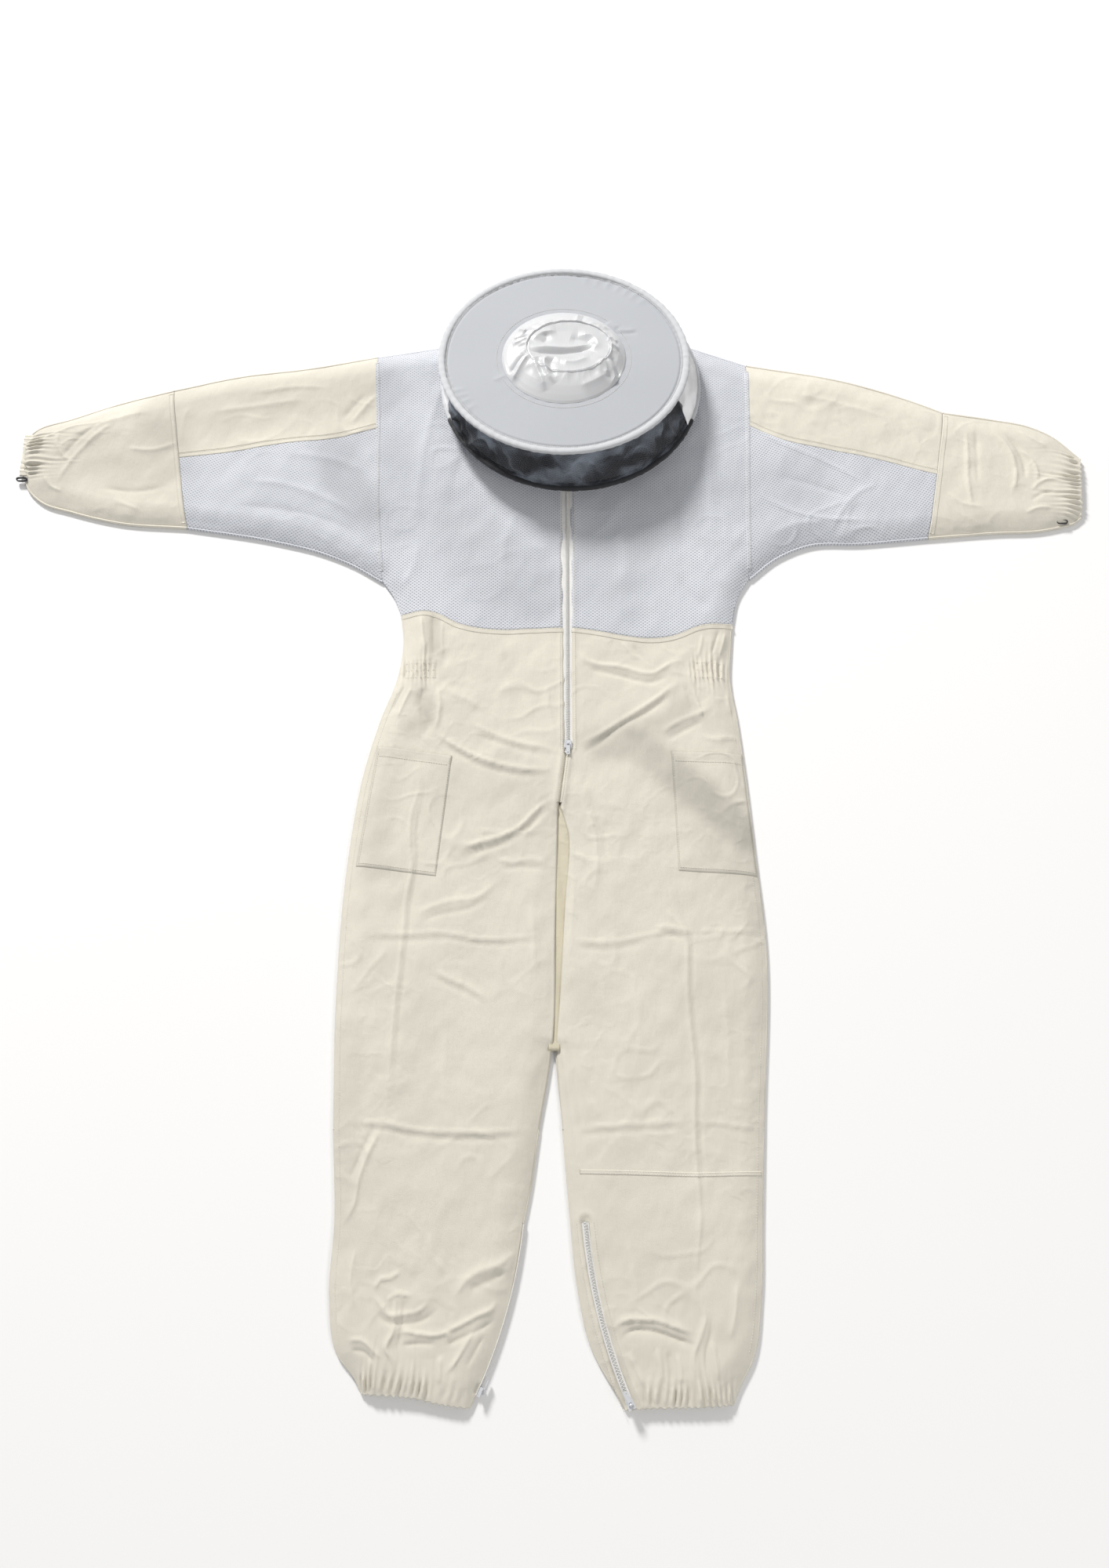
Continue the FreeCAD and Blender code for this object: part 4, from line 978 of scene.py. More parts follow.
def frames(line):
    """Unit tangents of a line in plan and the level direction on their left."""
    tangent = np.gradient(line, axis=0)
    tangent /= np.maximum(np.linalg.norm(tangent, axis=1), 1e-12)[:, None]
    return tangent, np.stack([-tangent[:, 1], tangent[:, 0]], -1)


def cross_section(count, flat=0.55):
    """A rounded box of half-width and half-height 1: signed powers of cosine and sine."""
    a = np.linspace(0, TAU, count, endpoint=False)
    return (np.sign(np.cos(a)) * np.abs(np.cos(a)) ** flat, np.sign(np.sin(a)) * np.abs(np.sin(a)) ** flat)


def swept(lines, width, rise, height, sides=10, flat=0.6):
    """A rounded bar swept along each line in plan, its section following the cloth's height.

    A point is line + left * width / 2 * cos and z = height there + rise * sin.
    """
    points, faces, uvs, start = [], [], [], 0
    x, z = cross_section(sides, flat)
    for line in lines:
        _, left = frames(line)
        plan = line[:, None] + left[:, None] * (x * width / 2)[None, :, None]
        level = height(plan.reshape(-1, 2)).reshape(plan.shape[:2]) + rise * z
        rings = np.concatenate([plan, level[..., None]], -1)
        rows = len(line)
        cells = grid_faces(rows, sides, True)[:, ::-1]
        far = np.r_[0, np.cumsum(np.linalg.norm(np.diff(line, axis=0), axis=1))]
        uv = np.stack(np.broadcast_arrays((x * width / 2)[None], far[:, None]), -1)
        body = np.concatenate([rings.reshape(-1, 3), rings[0].mean(0)[None], rings[-1].mean(0)[None]])
        j = np.arange(sides)
        k = (j + 1) % sides
        first = np.stack([np.full(sides, rows * sides), j, k], -1)
        end = (rows - 1) * sides
        last = np.stack([np.full(sides, rows * sides + 1), end + k, end + j], -1)
        points.append(body)
        uvs.append(np.concatenate([uv.reshape(-1, 2), np.zeros((2, 2))]))
        faces += [cells + start, np.concatenate([first, last])[:, ::-1] + start]
        start += len(body)
    quads = np.concatenate([part for part in faces if part.shape[1] == 4])
    fans = np.concatenate([part for part in faces if part.shape[1] == 3])
    return np.concatenate(points), [quads[:, ::-1], fans[:, ::-1]], np.concatenate(uvs)


def spindles(places, tangents, sides_way, ups, length, width, height):
    """Small rounded bars at many places: a ring of four points near each end and a point at the ends."""
    t = np.array([-0.5, -0.32, -0.32, -0.32, -0.32, 0.32, 0.32, 0.32, 0.32, 0.5])
    s = np.array([0, 0.5, 0, -0.5, 0, 0.5, 0, -0.5, 0, 0])
    u = np.array([0, 0, 0.5, 0, -0.5, 0, 0.5, 0, -0.5, 0])
    points = (places[:, None] + tangents[:, None] * (t * length)[None, :, None]
              + sides_way[:, None] * (s * width)[None, :, None] + ups[:, None] * (u * height)[None, :, None])
    j = np.arange(4)
    k = (j + 1) % 4
    fans = np.concatenate([np.stack([np.zeros(4, int), 1 + k, 1 + j], -1),
                           np.stack([np.full(4, 9), 5 + j, 5 + k], -1)])
    bars = np.stack([1 + j, 1 + k, 5 + k, 5 + j], -1)
    shift = (np.arange(len(places)) * 10)[:, None, None]
    return (points.reshape(-1, 3), [(bars[None] + shift).reshape(-1, 4), (fans[None] + shift).reshape(-1, 3)])


def stitching(name, rows, height, material="thread"):
    """Rows of stitches. A row is a line in plan, its offset to the left and its lift over the cloth."""
    trims = bpy.context.scene.suit_trims
    places, tangents = [], []
    for line, offset, lift in rows:
        tangent, left = frames(line)
        line = line + left * offset
        count = max(2, int(length_of(line) / trims.stitch_pitch))
        spots = along(line, (np.arange(count) + 0.5) / count)
        ends = along(line, np.clip((np.arange(count) + 0.5) / count + 0.2 / count, 0, 1))
        level, next_level = height(spots) + lift, height(ends) + lift
        step = np.c_[ends - spots, next_level - level]
        places.append(np.c_[spots, level])
        tangents.append(step / np.maximum(np.linalg.norm(step, axis=1), 1e-9)[:, None])
    places, tangents = np.concatenate(places), np.concatenate(tangents)
    sides_way = np.cross(np.array([0, 0, 1.0]), tangents)
    sides_way /= np.linalg.norm(sides_way, axis=1)[:, None]
    ups = np.cross(tangents, sides_way)
    points, faces = spindles(places, tangents, sides_way, ups, trims.stitch_length, 0.0008, 0.0009)
    # the stitches take the painted shade and light of the cloth under them
    return new_piece(name, points, faces, material, painted_shade_and_mottle=np.repeat(tone(places[:, :2]), 10))


def placed(points, place):
    """Points of the hat or hoop in their own frame, tilted front edge up and moved into place."""
    centre, tilt = place
    c, s = math.cos(math.radians(tilt)), math.sin(math.radians(tilt))
    x, y, z = np.moveaxis(np.asarray(points, float), -1, 0)
    return np.stack([x, y * c + z * s, -y * s + z * c], -1) + np.array(centre) * MM


def wheel(name, place, radius, level, half_width, half_height, material, first=0.0, last=360.0,
          count=360, sides=12, flat=0.8, pucker=0.0, seed=1):
    """A rounded bar bent round a circle, closed or from one angle to another, in mm.

    Its section is (half_width * cos a, half_height * sin a); pucker adds seeded ripples to both.
    """
    whole = last - first >= 360
    turn = np.radians(np.linspace(first, last, count, endpoint=not whole))[:, None]
    x, z = cross_section(sides, flat)
    draw = np.random.default_rng(seed)
    puckers = sum(np.sin(n * turn + draw.uniform(0, TAU)) * draw.uniform(0.3, 1)
                  for n in (31, 47, 83, 121)) * pucker
    reach = radius + (half_width + puckers) * x[None]
    high = level + (half_height + puckers * 0.7) * z[None]
    rings = np.stack([reach * np.cos(turn), reach * np.sin(turn), np.broadcast_to(high, reach.shape)], -1)
    points = placed(rings * MM, place).reshape(-1, 3)
    around = np.broadcast_to(turn * radius * MM, reach.shape)
    uv = np.stack([around, np.broadcast_to(np.arange(sides) * half_height * MM / 2, reach.shape)], -1)
    i = np.arange(count if whole else count - 1)[:, None]
    j = np.arange(sides)[None]
    k, below = (j + 1) % sides, (i + 1) % count
    faces = [np.stack([i * sides + j, below * sides + j, below * sides + k, i * sides + k],
                      -1).reshape(-1, 4)]
    uv = uv.reshape(-1, 2)
    if not whole:
        points = np.concatenate([points, points[:sides].mean(0)[None], points[-sides:].mean(0)[None]])
        uv = np.concatenate([uv, uv[:1], uv[-1:]])
        j, k = np.arange(sides), (np.arange(sides) + 1) % sides
        end, base = count * sides, (count - 1) * sides
        faces.append(np.concatenate([np.stack([np.full(sides, end), j, k], -1),
                                     np.stack([np.full(sides, end + 1), base + k, base + j], -1)]))
    return new_piece(name, points, faces, material, uv)


def knee_bend(name):
    x = {"right": -0.160, "left": 0.148}[name]
    return ("coverall", "shin_" + name, (x, KNEE * MM, 0.0165), (x, (KNEE - 30) * MM, 0.0165))


def elbow_bend(name):
    start, way = {"right": ((-0.601, 0.536, 0.0165), (-0.986, -0.167)),
                  "left": ((0.6095, 0.506, 0.0165), (0.982, -0.1885))}[name]
    end = (start[0] + 0.03 * way[0], start[1] + 0.03 * way[1], start[2])
    return ("coverall", "forearm_" + name, start, end)


def elbow_line(name, count=60):
    return along(straight(FOREARM_TOP[name][0], FOREARM_UNDER[name][0]), np.linspace(0, 1, count))


def leg_inside(name):
    """The inner edge of a front leg from the chest seam: the zip, the fly seam and the inside leg."""
    return joined(straight(*FLY[name]), smooth(INSIDE_FRONT[name], 120), smooth(SHIN_INNER[name], 120))


def scalloped(line, pitch, deep):
    """A hem drawn in by its elastic: the line moved to its left by deep * sin(2 pi s / pitch + wander)."""
    s = np.r_[0, np.cumsum(np.linalg.norm(np.diff(line, axis=0), axis=1))]
    wave = deep * np.sin(TAU * s / pitch + 1.2 * np.sin(s / 0.009))
    wave *= np.clip(np.minimum(s, s[-1] - s) / 0.006, 0, 1)
    return line + frames(line)[1] * wave[:, None]


def leg_outside(name):
    return joined(smooth(SIDE_LEG[name]), smooth(SHIN_OUTER[name], 100))


# ------------------------------------------------------------------ operators

class SUIT_OT_stage(bpy.types.Operator):
    """Lay the pale floor and set the studio light and the camera"""
    bl_idname = "suit.stage"
    bl_label = "Stage"

    def execute(self, context):
        stage = context.scene.suit_stage
        material = bpy.data.materials.new("floor")
        material.use_nodes = True
        shader = material.node_tree.nodes["Principled BSDF"]
        shader.inputs["Base Color"].default_value = (*stage.floor, 1)
        shader.inputs["Roughness"].default_value = 0.95
        shader.inputs["Specular IOR Level"].default_value = 0.1
        mesh = bpy.data.meshes.new("floor")
        reach = 9.0
        mesh.from_pydata([(-reach, -reach, -0.0005), (reach, -reach, -0.0005), (reach, reach, -0.0005),
                          (-reach, reach, -0.0005)], [], [(0, 1, 2, 3)])
        mesh.materials.append(material)
        floor = bpy.data.objects.new("floor", mesh)
        context.collection.objects.link(floor)
        self.light("key_light", (-2.6, 5.2, 3.5), (0.0, 0.0, 0.0), 1.4, stage.key, (1.0, 0.985, 0.965))
        self.light("fill_light", (4.0, -4.2, 4.6), (0.0, 0.0, 0.0), 3.2, stage.fill, (1.0, 0.965, 0.92))
        world = bpy.data.worlds.new("surround")
        world.use_nodes = True
        sky = world.node_tree.nodes["Background"]
        sky.inputs["Color"].default_value = (0.985, 0.99, 1.0, 1)
        sky.inputs["Strength"].default_value = stage.sky
        context.scene.world = world
        context.scene.view_settings.view_transform = "Standard"
        camera = bpy.data.cameras.new("camera")
        camera.lens = stage.lens
        camera.sensor_width = 36
        viewer = bpy.data.objects.new("camera", camera)
        viewer.location = (0, -0.624, stage.camera_height)
        viewer.rotation_euler = (math.radians(90 - stage.camera_angle), 0, 0)
        context.collection.objects.link(viewer)
        context.scene.camera = viewer
        return {"FINISHED"}

    @staticmethod
    def light(name, place, aim, width, power, tint):
        data = bpy.data.lights.new(name, "AREA")
        data.shape = "DISK"
        data.size = width
        data.energy = power
        data.color = tint
        lamp = bpy.data.objects.new(name, data)
        lamp.location = place
        way = np.array(place) - np.array(aim)
        lamp.rotation_euler = (math.acos(way[2] / np.linalg.norm(way)), 0,
                               math.atan2(way[1], way[0]) + math.pi / 2)
        bpy.context.collection.objects.link(lamp)


class SUIT_OT_legs(bpy.types.Operator):
    """Cut and lay the canvas fronts, from the chest seam to the ankles"""
    bl_idname = "suit.legs"
    bl_label = "Trouser fronts"

    def execute(self, context):
        thickness = context.scene.suit_cloth.canvas_thickness
        for name in SIDES:
            hem = scalloped(smooth(HEM[name]), 0.0086, 0.0010)
            lines = (smooth(CHEST_SEAM[name]), hem, leg_outside(name), leg_inside(name))
            piece = panel("leg_front_" + name, lines, crowded(120, 2.0, 0.5, 0.25),
                          crowded(345, 0.5, 1.4, 0.07), front_height, "canvas", thickness)
            settle(piece, bend=knee_bend(name),
                   replaces=("front_trouser_" + name, "shin_front_" + name))
        return {"FINISHED"}


class SUIT_OT_chest(bpy.types.Operator):
    """Cut and lay the spacer-mesh chest fronts"""
    bl_idname = "suit.chest"
    bl_label = "Chest mesh"

    def execute(self, context):
        thickness = context.scene.suit_cloth.mesh_thickness
        for name in SIDES:
            out = OUT[name]
            side_neck = 90 - out * 10
            shoulder = straight(ARMHOLE[name][0], SHOULDER[name],
                                (NECK[0] + 86 * math.cos(math.radians(side_neck)),
                                 NECK[1] + 86 * math.sin(math.radians(side_neck))))
            slot = 266.7 if out < 0 else -86.7
            neck = arc_line(NECK, NECK_RADIUS, slot, side_neck)
            outer = joined(smooth(SIDE_WAIST[name], 60)[::-1], smooth(ARMHOLE[name], 100)[::-1])
            lines = (smooth(CHEST_SEAM[name]), shoulder, outer, joined(smooth(CHEST_SEAM[name])[-1:], neck))
            piece = panel("chest_" + name, lines, crowded(84, 0.6, 0.4, 0.06), crowded(132, 0.5, 0.5, 0.06),
                          front_height, "spacer_mesh", thickness)
            settle(piece, "coverall", replaces=("front_mesh_" + name,))
        return {"FINISHED"}


class SUIT_OT_sleeves(bpy.types.Operator):
    """Cut and lay the sleeves: canvas caps, mesh undersides and canvas forearms"""
    bl_idname = "suit.sleeves"
    bl_label = "Sleeves"

    def execute(self, context):
        cloth = context.scene.suit_cloth
        for name in SIDES:
            out = OUT[name]
            grain = {"right": -10, "left": -12}[name] * -out
            armhole = ARMHOLE[name]
            elbow = elbow_line(name)
            middle = smooth(SLEEVE_SEAM[name])
            over_end, under_end = smooth(OVERARM[name]), smooth(UNDERARM[name])
            cap_end = np.stack([over_end[-1], middle[-1]])
            low_end = np.stack([middle[-1], under_end[-1]])
            cap = panel("sleeve_cap_" + name, (smooth(armhole[:3], 60), cap_end, over_end, middle),
                        crowded(52, 1.2, 0.3, 0.08), crowded(112, 0.3, 0.3), front_height, "canvas",
                        cloth.canvas_thickness, grain=grain)
            settle(cap, "coverall", replaces=("sleeve_top_" + name,))
            low = panel("sleeve_under_mesh_" + name, (smooth(armhole[2:], 60), low_end, middle, under_end),
                        crowded(62, 0.3, 1.2, 0.08), crowded(112, 0.3, 0.3), front_height, "spacer_mesh",
                        cloth.mesh_thickness, grain=grain)
            settle(low, "coverall", replaces=("sleeve_under_" + name,))
            wrist = straight(FOREARM_TOP[name][-1], FOREARM_UNDER[name][-1])
            end = scalloped(along(wrist, np.linspace(0, 1, 90)), 0.0080, 0.0010)
            lines = (elbow, end, smooth(FOREARM_TOP[name]), smooth(FOREARM_UNDER[name]))
            forearm = panel("forearm_cloth_" + name, lines, crowded(108, 1.2, 1.2, 0.06),
                            crowded(110, 0.2, 1.3, 0.12), front_height, "canvas", cloth.canvas_thickness,
                            grain=grain)
            settle(forearm, bend=elbow_bend(name), replaces=("forearm_front_" + name,))
        return {"FINISHED"}


class SUIT_OT_backs(bpy.types.Operator):
    """Cut and lay the back of the suit, flat on the floor"""
    bl_idname = "suit.backs"
    bl_label = "Back cloth"

    def execute(self, context):
        cloth = context.scene.suit_cloth
        bottom = straight(SIDE_LEG["right"][0], (20, 246.5), SIDE_LEG["left"][0])
        top = straight(ARMHOLE["right"][0], SHOULDER["right"], (-60, 746), (19, 732), (98, 746),
                       SHOULDER["left"], ARMHOLE["left"][0])
        outer, inner = (joined(smooth(SIDE_WAIST[name], 60)[::-1], smooth(ARMHOLE[name], 80)[::-1])
                        for name in SIDES)
        back = panel("back_mesh_panel", (bottom, top, outer, inner), crowded(96, 1, 1, 0.04),
                     crowded(84), back_height, "spacer_mesh", cloth.canvas_thickness, False)
        settle(back, "coverall", replaces=("back_mesh",))
        for name in SIDES:
            out = OUT[name]
            seat = straight((20 + 0.3 * out, 246.5), (20 + 0.3 * out, 31), (7 + out, -52))
            inside = joined(seat, smooth(INSIDE_LEG[name], 80), smooth(SHIN_INNER[name], 80))
            first = straight(SIDE_LEG[name][0], (20 + 0.3 * out, 246.5))
            leg = panel("leg_back_" + name, (first, smooth(HEM[name]), leg_outside(name), inside),
                        crowded(56, 1.2, 1.2, 0.05), crowded(190), back_height, "canvas",
                        cloth.canvas_thickness, False)
            settle(leg, bend=knee_bend(name),
                   replaces=("back_trouser_" + name, "shin_back_" + name))
            elbow = elbow_line(name)
            sleeve = panel("sleeve_back_cloth_" + name,
                           (smooth(ARMHOLE[name]), elbow, smooth(OVERARM[name]), smooth(UNDERARM[name])),
                           crowded(64, 1, 1, 0.05), crowded(64), back_height, "canvas",
                           cloth.canvas_thickness, False)
            settle(sleeve, "coverall", replaces=("sleeve_back_" + name,))
            wrist = straight(FOREARM_TOP[name][-1], FOREARM_UNDER[name][-1])
            forearm = panel("forearm_back_cloth_" + name,
                            (elbow, wrist, smooth(FOREARM_TOP[name]), smooth(FOREARM_UNDER[name])),
                            crowded(56, 1, 1, 0.06), crowded(60), back_height, "canvas",
                            cloth.canvas_thickness, False)
            settle(forearm, bend=elbow_bend(name), replaces=("forearm_back_" + name,))
        shares = np.linspace(0, 1, 70)
        right, left = (along(smooth(points, 90), shares) for points in
                       (INSIDE_LEG["right"][:3], INSIDE_FRONT["left"][:-1]))
        across = np.linspace(-4, 4, 14)[None, :, None] * MM
        share = np.linspace(0, 1, 14)[None, :, None]
        strip = (right[:, None] * (1 - share) + left[:, None] * share + across * [1, 0])
        strip = (strip + np.array([0, 0.006]) * (1 - shares[:, None, None]) ** 8).reshape(-1, 2)
        high = 0.0098 + 0.0006 * np.sin(strip[:, 0] / 0.003 + strip[:, 1] / 0.03)
        # the crotch facing fills the gap between the legs; its darker colour is painted shade
        pleat = new_piece("crotch_shaded_facing", np.c_[strip, high], grid_faces(70, 14)[:, ::-1], "shaded_facing", strip)
        settle(thicken(pleat, cloth.canvas_thickness), "coverall")
        return {"FINISHED"}


def rim(points):
    """Height of the seam bead along the rim, between the back cloth and the front cloth."""
    return np.full(len(points), 0.0029)


def inset(line, distance_in):
    """A line moved to its left, in metres."""
    return line + frames(line)[1] * distance_in


def piece_of_bars(name, lines, width, rise, height, material, sides=10):
    points, faces, uv = swept(lines, width, rise, height, sides)
    # the bars take the painted shade and light of the cloth under them
    return new_piece(name, points, faces, material, uv, tone(points[:, :2]))


class SUIT_OT_seams(bpy.types.Operator):
    """Sew the rims, the flat-felled seams and their rows of stitches"""
    bl_idname = "suit.seams"
    bl_label = "Seams and stitching"

    def execute(self, context):
        width = context.scene.suit_trims.seam_width
        canvas_rims, mesh_rims, canvas_bands, mesh_bands, rows = [], [], [], [], []
        for name in SIDES:
            out = OUT[name]
            canvas_rims += [inset(smooth(OVERARM[name], 160), -out * -0.0012),
                            inset(smooth(SIDE_LEG[name], 360), -out * 0.0012)]
            shoulder = along(straight(ARMHOLE[name][0], SHOULDER[name], (NECK[0] + out * 20, 741)),
                             np.linspace(0, 1, 120))
            mesh_rims += [inset(smooth(UNDERARM[name], 160), -out * 0.0012),
                          inset(smooth(SIDE_WAIST[name], 60), -out * 0.0012), shoulder]
            chest = inset(smooth(CHEST_SEAM[name], 180), out * 0.004)
            middle = smooth(SLEEVE_SEAM[name], 180)
            armhole = smooth(ARMHOLE[name], 220)
            canvas_bands += [chest, inset(middle, -out * 0.004)]
            mesh_bands.append(armhole[8:-8])
            rise = 0.0006
            rows += [(chest, 0.0030, rise), (chest, -0.0030, rise),
                     (inset(middle, -out * 0.004), 0.0030, rise),
                     (inset(middle, -out * 0.004), -0.0030, rise),
                     (armhole[8:-8], 0.0020, 0.0007), (armhole[8:-8], -0.0020, 0.0007)]
            fly = along(straight((20 + out * 11.5, 228), (20 + out * 11.5, 36)), np.linspace(0, 1, 120))
            chest_fly = along(straight((20 + out * 11, 238), (20 + out * 11, 560)), np.linspace(0, 1, 150))
            rows += [(fly, 0, 0.0002), (inset(fly, out * -0.0035), 0, 0.0002), (chest_fly, 0, 0.0002)]
            side = inset(smooth(SIDE_LEG[name], 360)[60:], -out * 0.0085)
            rows += [(side, 0, 0.0002)]
        centre = along(straight((17.5, 30), (13.5, 0), (9, -34), (7, -46)), np.linspace(0, 1, 60))
        canvas_bands.append(centre)
        rows += [(centre, 0.0028, 0.0009), (centre, -0.0028, 0.0009)]
        rims = piece_of_bars("rim_canvas", canvas_rims, 0.0034, 0.0024, rim, "canvas", 8)
        settle(rims, "coverall", replaces=("coverall_seams",))
        settle(piece_of_bars("rim_mesh", mesh_rims, 0.0034, 0.0024, rim, "spacer_mesh", 8),
               "coverall")
        settle(piece_of_bars("felled_seams", canvas_bands, width, 0.0005, front_height, "canvas", 12),
               "coverall")
        settle(piece_of_bars("armhole_seams", mesh_bands, 0.007, 0.0008, front_height, "spacer_mesh", 10),
               "coverall")
        settle(stitching("stitches_coverall", rows, front_height), "coverall")
        for name in SIDES:
            self.forearm(name, width)
            self.shin(name)
        return {"FINISHED"}

    @staticmethod
    def forearm(name, width):
        out = OUT[name]
        rims = [inset(smooth(FOREARM_TOP[name], 130), out * 0.0012),
                inset(smooth(FOREARM_UNDER[name], 130), -out * 0.0012)]
        piece = piece_of_bars("forearm_rims_" + name, rims, 0.0034, 0.0024, rim, "canvas", 8)
        settle(piece, bend=elbow_bend(name), replaces=("forearm_seams_" + name,))
        way = np.array(elbow_bend(name)[3][:2]) - np.array(elbow_bend(name)[2][:2])
        band = elbow_line(name, 120)[3:-3] + way / 0.03 * 0.0045
        piece = piece_of_bars("elbow_seam_" + name, [band], width, 0.0005, front_height, "canvas", 12)
        settle(piece, bend=elbow_bend(name))
        piece = stitching("stitches_forearm_" + name, [(band, 0.0026, 0.0006), (band, -0.0026, 0.0006)],
                          front_height)
        settle(piece, bend=elbow_bend(name))

    @staticmethod
    def shin(name):
        out = OUT[name]
        inner = SHIN_INNER[name][:3] if name == "right" else SHIN_INNER[name]
        rims = [inset(smooth(SHIN_OUTER[name], 160), -out * 0.0012),
                inset(smooth(inner, 160), out * 0.0010)]
        piece = piece_of_bars("shin_rims_" + name, rims, 0.0034, 0.0024, rim, "canvas", 8)
        settle(piece, bend=knee_bend(name), replaces=("shin_seams_" + name,))
        side = inset(smooth(SHIN_OUTER[name], 160)[:130], -out * 0.0085)
        rows = [(side, 0, 0.0002)]
        if name == "left":
            knee = along(straight((34, -566), (90, -567), (190, -570), (279, -568)), np.linspace(0, 1, 140))
            piece = piece_of_bars("knee_seam_left", [knee], 0.006, 0.0007, front_height, "canvas", 10)
            settle(piece, bend=knee_bend(name))
            rows += [(knee, 0.0018, 0.0007), (knee, -0.0018, 0.0007)]
            zip_line = ZIP_ARCS["left"]
            rows += [(zip_line, 0.0115, 0.0002), (zip_line, -0.0115, 0.0002)]
        settle(stitching("stitches_shin_" + name, rows, front_height), bend=knee_bend(name))


class SUIT_OT_pockets(bpy.types.Operator):
    """Lay the two patch pockets on the hips and stitch round them"""
    bl_idname = "suit.pockets"
    bl_label = "Hip pockets"

    def execute(self, context):
        thickness = context.scene.suit_cloth.canvas_thickness
        for name in SIDES:
            a, b, c, d = POCKET[name]
            top, bottom = straight(a, d), straight(b, c)
            outer, inner = straight(a, b), straight(d, c)
            outline = joined(top[::-1], outer, bottom, inner[::-1])
            opening = straight(a, d)

            def lifted(points, border=outline, mouth=opening):
                """The cloth below it plus its own lift, rolled down at its border; the mouth gapes."""
                far = distance(points, border)[0]
                near_mouth = distance(points, mouth)[0]
                lift = 0.0012 * np.clip(far / 0.003, 0.25, 1) ** 0.6
                hem = 0.0004 * np.exp(-((near_mouth - 0.006) / 0.006) ** 4)
                return front_height(points) + lift + hem + 0.0009 * np.exp(-near_mouth / 0.006)

            # painted shade: a dark line is painted round each pocket's border, where its raised edge would
            # throw shade
            piece = panel("pocket_" + name, (top, bottom, outer, inner), crowded(60, 2, 2, 0.04),
                          crowded(90, 2, 2, 0.04), lifted, "canvas", thickness,
                          painted_edge_shade=lambda p, rim=outline: 0.16 * np.exp(-(distance(p, rim)[0] / 0.0022) ** 2))
            settle(piece, "coverall", replaces=("hip_pockets",))
            inside = outline.mean(0) + (outline - outline.mean(0)) * 0.955
            along_sides = joined(*[along(inside[i:i + 2], np.linspace(0, 1, 60)) for i in (1, 2, 3)])
            fold = np.stack([top[0] + (bottom[0] - top[0]) * 0.085, top[1] + (bottom[1] - top[1]) * 0.085])
            hem = along(fold, np.linspace(0.04, 0.96, 60))
            settle(stitching("stitches_pocket_" + name, [(along_sides, 0, 0.0004), (hem, 0, 0.0004)], lifted),
                   "coverall")
        return {"FINISHED"}


def level(height):
    """A height that is the same everywhere."""
    return lambda points: np.full(len(points), height)


def teeth_along(line, pitch):
    """Places for zip teeth along a line: small bars across it, each side a little out of step."""
    count = int(length_of(line) / pitch)
    spots = along(line, (np.arange(count) + 0.5) / count)
    tangent, left = frames(spots)
    shift = np.where(np.arange(count) % 2, 1.0, -1.0)[:, None] * 0.0005
    up = np.zeros((count, 3))
    up[:, 2] = 1
    tangent, left = np.c_[tangent, np.zeros(count)], np.c_[left, np.zeros(count)]
    return spots, tangent, left, up, shift


class SUIT_OT_zips(bpy.types.Operator):
    """Make the tapes and teeth of the front, ankle and collar zips"""
    bl_idname = "suit.zips"
    bl_label = "Zips"

    def execute(self, context):
        lines = [along(straight((20 + side * 7.1, 31.2), (20 + side * 7.1, 562.8)), np.linspace(0, 1, 200))
                 for side in (-1, 1)]
        points, faces, uv = swept(lines, 0.0138, 0.0006, level(0.0139), 8, 0.4)
        tape = new_piece("front_zip_tapes", points, faces, "zip_tape", uv)
        settle(tape, "coverall", replaces=("front_zip_chain",))
        line = along(straight((20, 33), (20, 561)), np.linspace(0, 1, 400))
        self.chain("front_zip_teeth", line, 0.0155, "coverall")
        for name in SIDES:
            arc = ZIP_ARCS[name]
            if name == "left":
                points, faces, uv = swept([arc], 0.0096, 0.0006, level(0.0130), 8, 0.4)
                self.chain("ankle_zip_teeth_left", arc, 0.0149, "shin_left")
            else:
                points, faces, uv = swept([arc], 0.0014, 0.0024, level(0.0050), 8, 0.4)
                spots, tangent, left, up, shift = teeth_along(arc, TOOTH_PITCH)
                outwards = np.c_[spots, np.full(len(spots), 0.005)] + left * OUT["right"] * -0.0010
                bars, cells = spindles(outwards + up * shift, up, tangent, left, 0.0030, 0.0016, 0.0018)
                settle(new_piece("ankle_zip_teeth_right", bars, cells, "zip_teeth"), "shin_right")
            tape = new_piece("ankle_zip_tape_" + name, points, faces, "zip_tape", uv)
            settle(tape, "shin_" + name, replaces=("ankle_zip_chain_" + name,))
        collar = ((NECK[0], NECK[1], 0), 0)
        tape = wheel("collar_zip_tape", collar, 86.7, 28.2, 0.7, 6.0, "zip_tape", count=240, sides=10,
                     flat=0.4)
        settle(tape, "coverall", replaces=("collar_zip_chain",))
        ring = arc_line(NECK, 88.3, 0, 359.9, 400)
        spots, tangent, left, up, shift = teeth_along(ring, TOOTH_PITCH)
        spots = np.c_[spots, np.full(len(spots), 0.0282)]
        bars, cells = spindles(spots + up * shift, up, tangent, left, 0.0056, 0.0016, 0.0024)
        settle(new_piece("collar_zip_teeth", bars, cells, "zip_teeth"), "coverall")
        return {"FINISHED"}

    @staticmethod
    def chain(name, line, height, body):
        spots, tangent, left, up, shift = teeth_along(line, TOOTH_PITCH)
        places = np.c_[spots, np.full(len(spots), height)] + left * shift
        bars, cells = spindles(places, left, tangent, up, 0.0044, 0.0017, 0.0024)
        settle(new_piece(name, bars, cells, "zip_teeth"), body)


